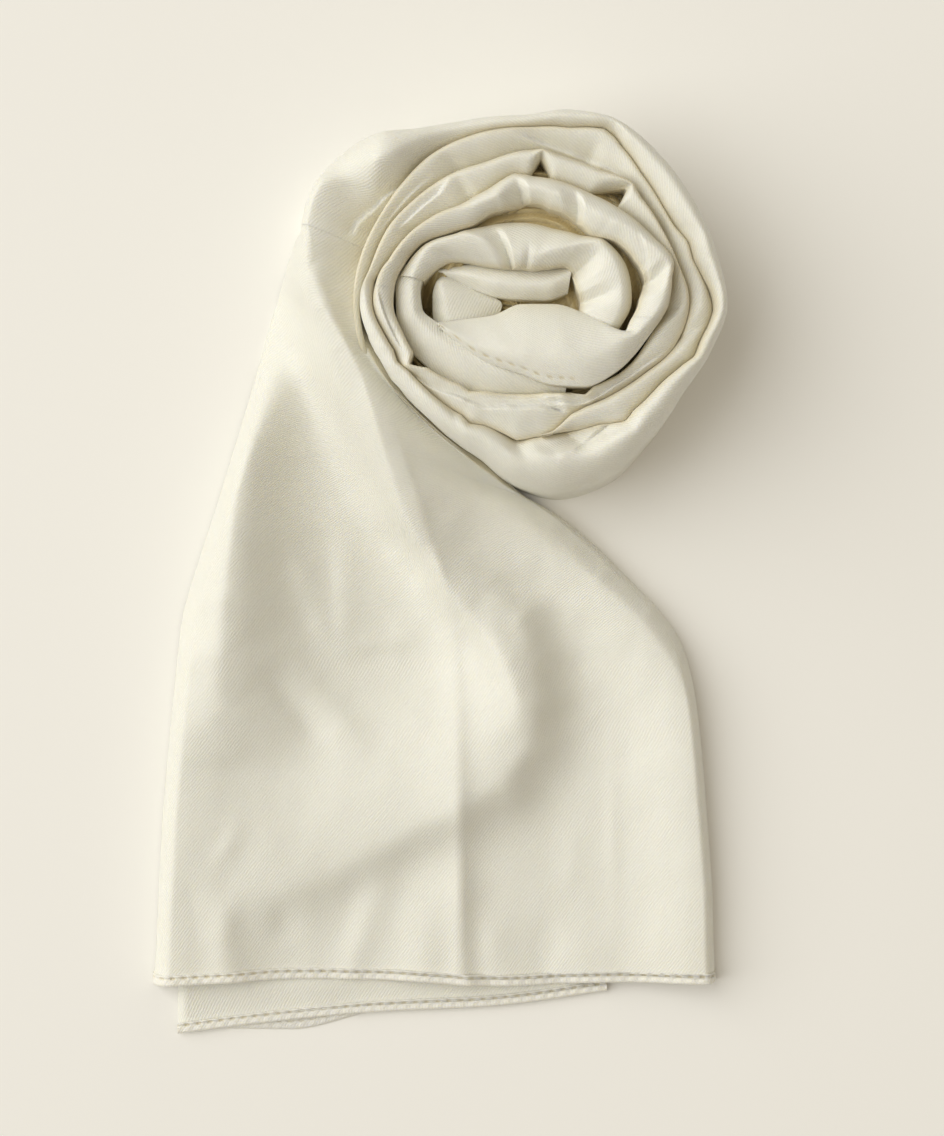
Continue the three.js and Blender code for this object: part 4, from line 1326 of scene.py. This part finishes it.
def hidden_heap(settings):
    """The hidden layers: a merged copy of the solid, with the layers that show above it."""
    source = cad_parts["roll_hidden_layers"]
    layers = sheet_mesh(
        "heap_layers", steps(90, settings), steps(120, settings), heap_place, cloth_of(settings), 0.0
    )
    bm = bmesh.new()
    bm.from_mesh(source.data)
    bm.transform(source.matrix_world)
    bmesh.ops.remove_doubles(bm, verts=bm.verts, dist=MERGED)
    bmesh.ops.recalc_face_normals(bm, faces=bm.faces)
    for face in bm.faces:
        face.smooth = True
    body = bpy.data.meshes.new("heap_body")
    bm.to_mesh(body)
    bm.free()
    body.uv_layers.new(name="weave")
    attribute = body.attributes.new("depth", "FLOAT", "POINT")
    # Painted shade: the solid's copy is given the full deep colour
    attribute.data.foreach_set("value", np.ones(len(body.vertices)))
    bm = bmesh.new()
    bm.from_mesh(layers.data)
    bmesh.ops.remove_doubles(bm, verts=bm.verts, dist=MERGED)
    bm.from_mesh(body)
    mesh = bpy.data.meshes.new("heap_cloth")
    bm.to_mesh(mesh)
    bm.free()
    bpy.data.objects.remove(layers)
    mesh.materials.append(cloth_of(settings))
    finish_piece(add_piece("heap_cloth", mesh), "roll_hidden_layers")


class SCARF_OT_heap(Operator):
    """Add the heap of hidden layers inside the roll"""
    bl_idname = "scarf.heap"
    bl_label = "Add heap"

    def execute(self, context):
        hidden_heap(context.scene.scarf)
        return {"FINISHED"}


HEMS = (
    # piece, node, hem line, thickness, whether it follows the tail's own height, base height
    ("hem_top_sewn", "hem_top", TOP_HEM, 1.7, True, 0.0),
    ("hem_second_sewn", "hem_second", SECOND_HEM, 1.6, False, 1.4),
    ("hem_third_sewn", "hem_third", THIRD_HEM, 0.9, False, 0.0),
)
# The hems' columns and walls, in mm and in shares of their thickness
HEM_COLUMN = 0.5
HEM_WALL = 0.6
HEM_WALL_SHARE = 0.4


def hem_place(along, across, rows, thick, follows, base):
    """A place on a rolled hem, pinched along its seam by the stitches."""
    at = crowded(across, HEM_CROWDING)
    x = between(rows, "x", at)
    width = HEM_WIDTH + HEM_LAP
    y = between(rows, "y", at) + along * width
    if follows:
        cloth_z = tail_place(np.zeros(at.shape), at)[2]
    else:
        cloth_z = np.full(at.shape, base + thick * HEM_LEVEL)
    low = np.maximum(cloth_z - HEM_DROP, 0.0)
    z = low + (cloth_z + HEM_OVER - low) * rounded(along * width, HEM_ROUND)
    run = x / STITCH_PITCH
    wave = 0.5 + 0.5 * np.cos(2 * math.pi * run)
    dash = smooth(*STITCH, wave)
    seam = np.exp(-(((along * width - SEAM_SHARE * width) / SEAM_REACH) ** 2))
    puff = np.exp(-(((along * width - (SEAM_SHARE + PUFF_PAST_SEAM) * width) / PUFF_REACH) ** 2))
    z = z - SEAM_DIP * seam * (SEAM_EVEN + (1 - SEAM_EVEN) * dash)
    z = z + PUFF_HEIGHT * puff * (1 - PUFF_CHANGE * wave)
    z = np.where(along > HEM_BACK, z - (along - HEM_BACK) / HEM_BACK_SHARE * HEM_BACK_DROP, z)
    twist = TWIST_HEIGHT * np.sin(2 * math.pi * run + TWIST_PHASE)
    z = z + twist * smooth(*TWIST_FROM, along) * (1 - smooth(*TWIST_TO, along))
    # Painted shade in the dimples of the stitches
    return x, y, z, SEAM_PAINTED_SHADE * seam * dash


class SCARF_OT_hems(Operator):
    """Add the rolled hems"""
    bl_idname = "scarf.hems"
    bl_label = "Add hems"

    def execute(self, context):
        settings = context.scene.scarf
        for name, node, rows, thick, follows, base in HEMS:
            length = float(rows["x"][-1] - rows["x"][0])
            piece = sheet_mesh(
                name, steps(22, settings), steps(length / HEM_COLUMN, settings),
                lambda along, across: hem_place(along, across, rows, thick, follows, base),
                hem_of(settings), min(HEM_WALL, thick * HEM_WALL_SHARE), laid=True,
            )
            finish_piece(piece, node)
        return {"FINISHED"}


# How far the table top reaches each way from the middle, in metres
FLOOR_HALF = 2.0
LIGHTS = (
    # name, place from the scarf's middle and size in metres, watts, colour
    ("window", (-3.0, 0.9, 2.95), 5.2, 207.0, "#fffffd"),
    ("bounce", (1.2, -0.4, 1.6), 1.4, 3.0, "#fff3e2"),
)
ROOM_COLOUR = "#fff4e1"
ROOM_STRENGTH = 0.33
# The camera's sensor width and its lens, in mm
SENSOR = 36.0
LENS = 66.2


class SCARF_OT_stage(Operator):
    """Add the table top, the lights and the camera"""
    bl_idname = "scarf.stage"
    bl_label = "Add stage"

    def execute(self, context):
        scene = context.scene
        settings = scene.scarf
        bm = bmesh.new()
        bmesh.ops.create_grid(bm, x_segments=1, y_segments=1, size=FLOOR_HALF)
        mesh = bpy.data.meshes.new("floor")
        bm.to_mesh(mesh)
        bm.free()
        mesh.materials.append(plain("matt_table_top", settings.floor_colour, 0.9))
        add_piece("floor", mesh)
        centre = Vector((PLACE[0] * MM, PLACE[1] * MM, 0.0))
        for name, place, size, watts, colour in LIGHTS:
            place = Vector(place)
            data = bpy.data.lights.new(name, "AREA")
            data.shape = "SQUARE"
            data.size = size
            data.energy = watts
            data.color = linear(colour)
            light = add_piece(name, data)
            light.location = centre + place
            light.rotation_euler = (-place).to_track_quat("-Z", "Y").to_euler()
        world = bpy.data.worlds.new("soft_room")
        world.use_nodes = True
        background = world.node_tree.nodes["Background"]
        background.inputs["Color"].default_value = (*linear(ROOM_COLOUR), 1)
        background.inputs["Strength"].default_value = ROOM_STRENGTH
        scene.world = world
        data = bpy.data.cameras.new("camera")
        data.sensor_width = SENSOR
        data.lens = LENS
        data.clip_start = 0.01
        camera = add_piece("camera", data)
        camera.location = (PLACE[0] * MM, PLACE[1] * MM, CAMERA_HEIGHT * MM)
        scene.camera = camera
        scene.view_settings.view_transform = "Standard"
        scene.view_settings.look = "None"
        return {"FINISHED"}


class SCARF_PT_panel(Panel):
    """Sizes, colours and steps of the scarf"""
    bl_label = "Scarf"
    bl_idname = "SCARF_PT_panel"
    bl_space_type = "VIEW_3D"
    bl_region_type = "UI"
    bl_category = "Scarf"

    def draw(self, context):
        settings = context.scene.scarf
        for name in ScarfSettings.__annotations__:
            self.layout.prop(settings, name)
        for operator in OPERATORS:
            self.layout.operator(operator.bl_idname)


OPERATORS = (
    SCARF_OT_heap, SCARF_OT_layers, SCARF_OT_tail, SCARF_OT_turns, SCARF_OT_inner_folds, SCARF_OT_hems,
    SCARF_OT_stage,
)
CLASSES = (ScarfSettings, *OPERATORS, SCARF_PT_panel)


def register():
    for item in CLASSES:
        bpy.utils.register_class(item)
    bpy.types.Scene.scarf = PointerProperty(type=ScarfSettings)


def unregister():
    del bpy.types.Scene.scarf
    for item in reversed(CLASSES):
        bpy.utils.unregister_class(item)


def main():
    register()
    bpy.ops.scarf.heap()
    bpy.ops.scarf.layers()
    bpy.ops.scarf.tail()
    bpy.ops.scarf.turns()
    bpy.ops.scarf.inner_folds()
    bpy.ops.scarf.hems()
    bpy.ops.scarf.stage()
    bpy.context.view_layer.update()


if __name__ == "__main__":
    main()
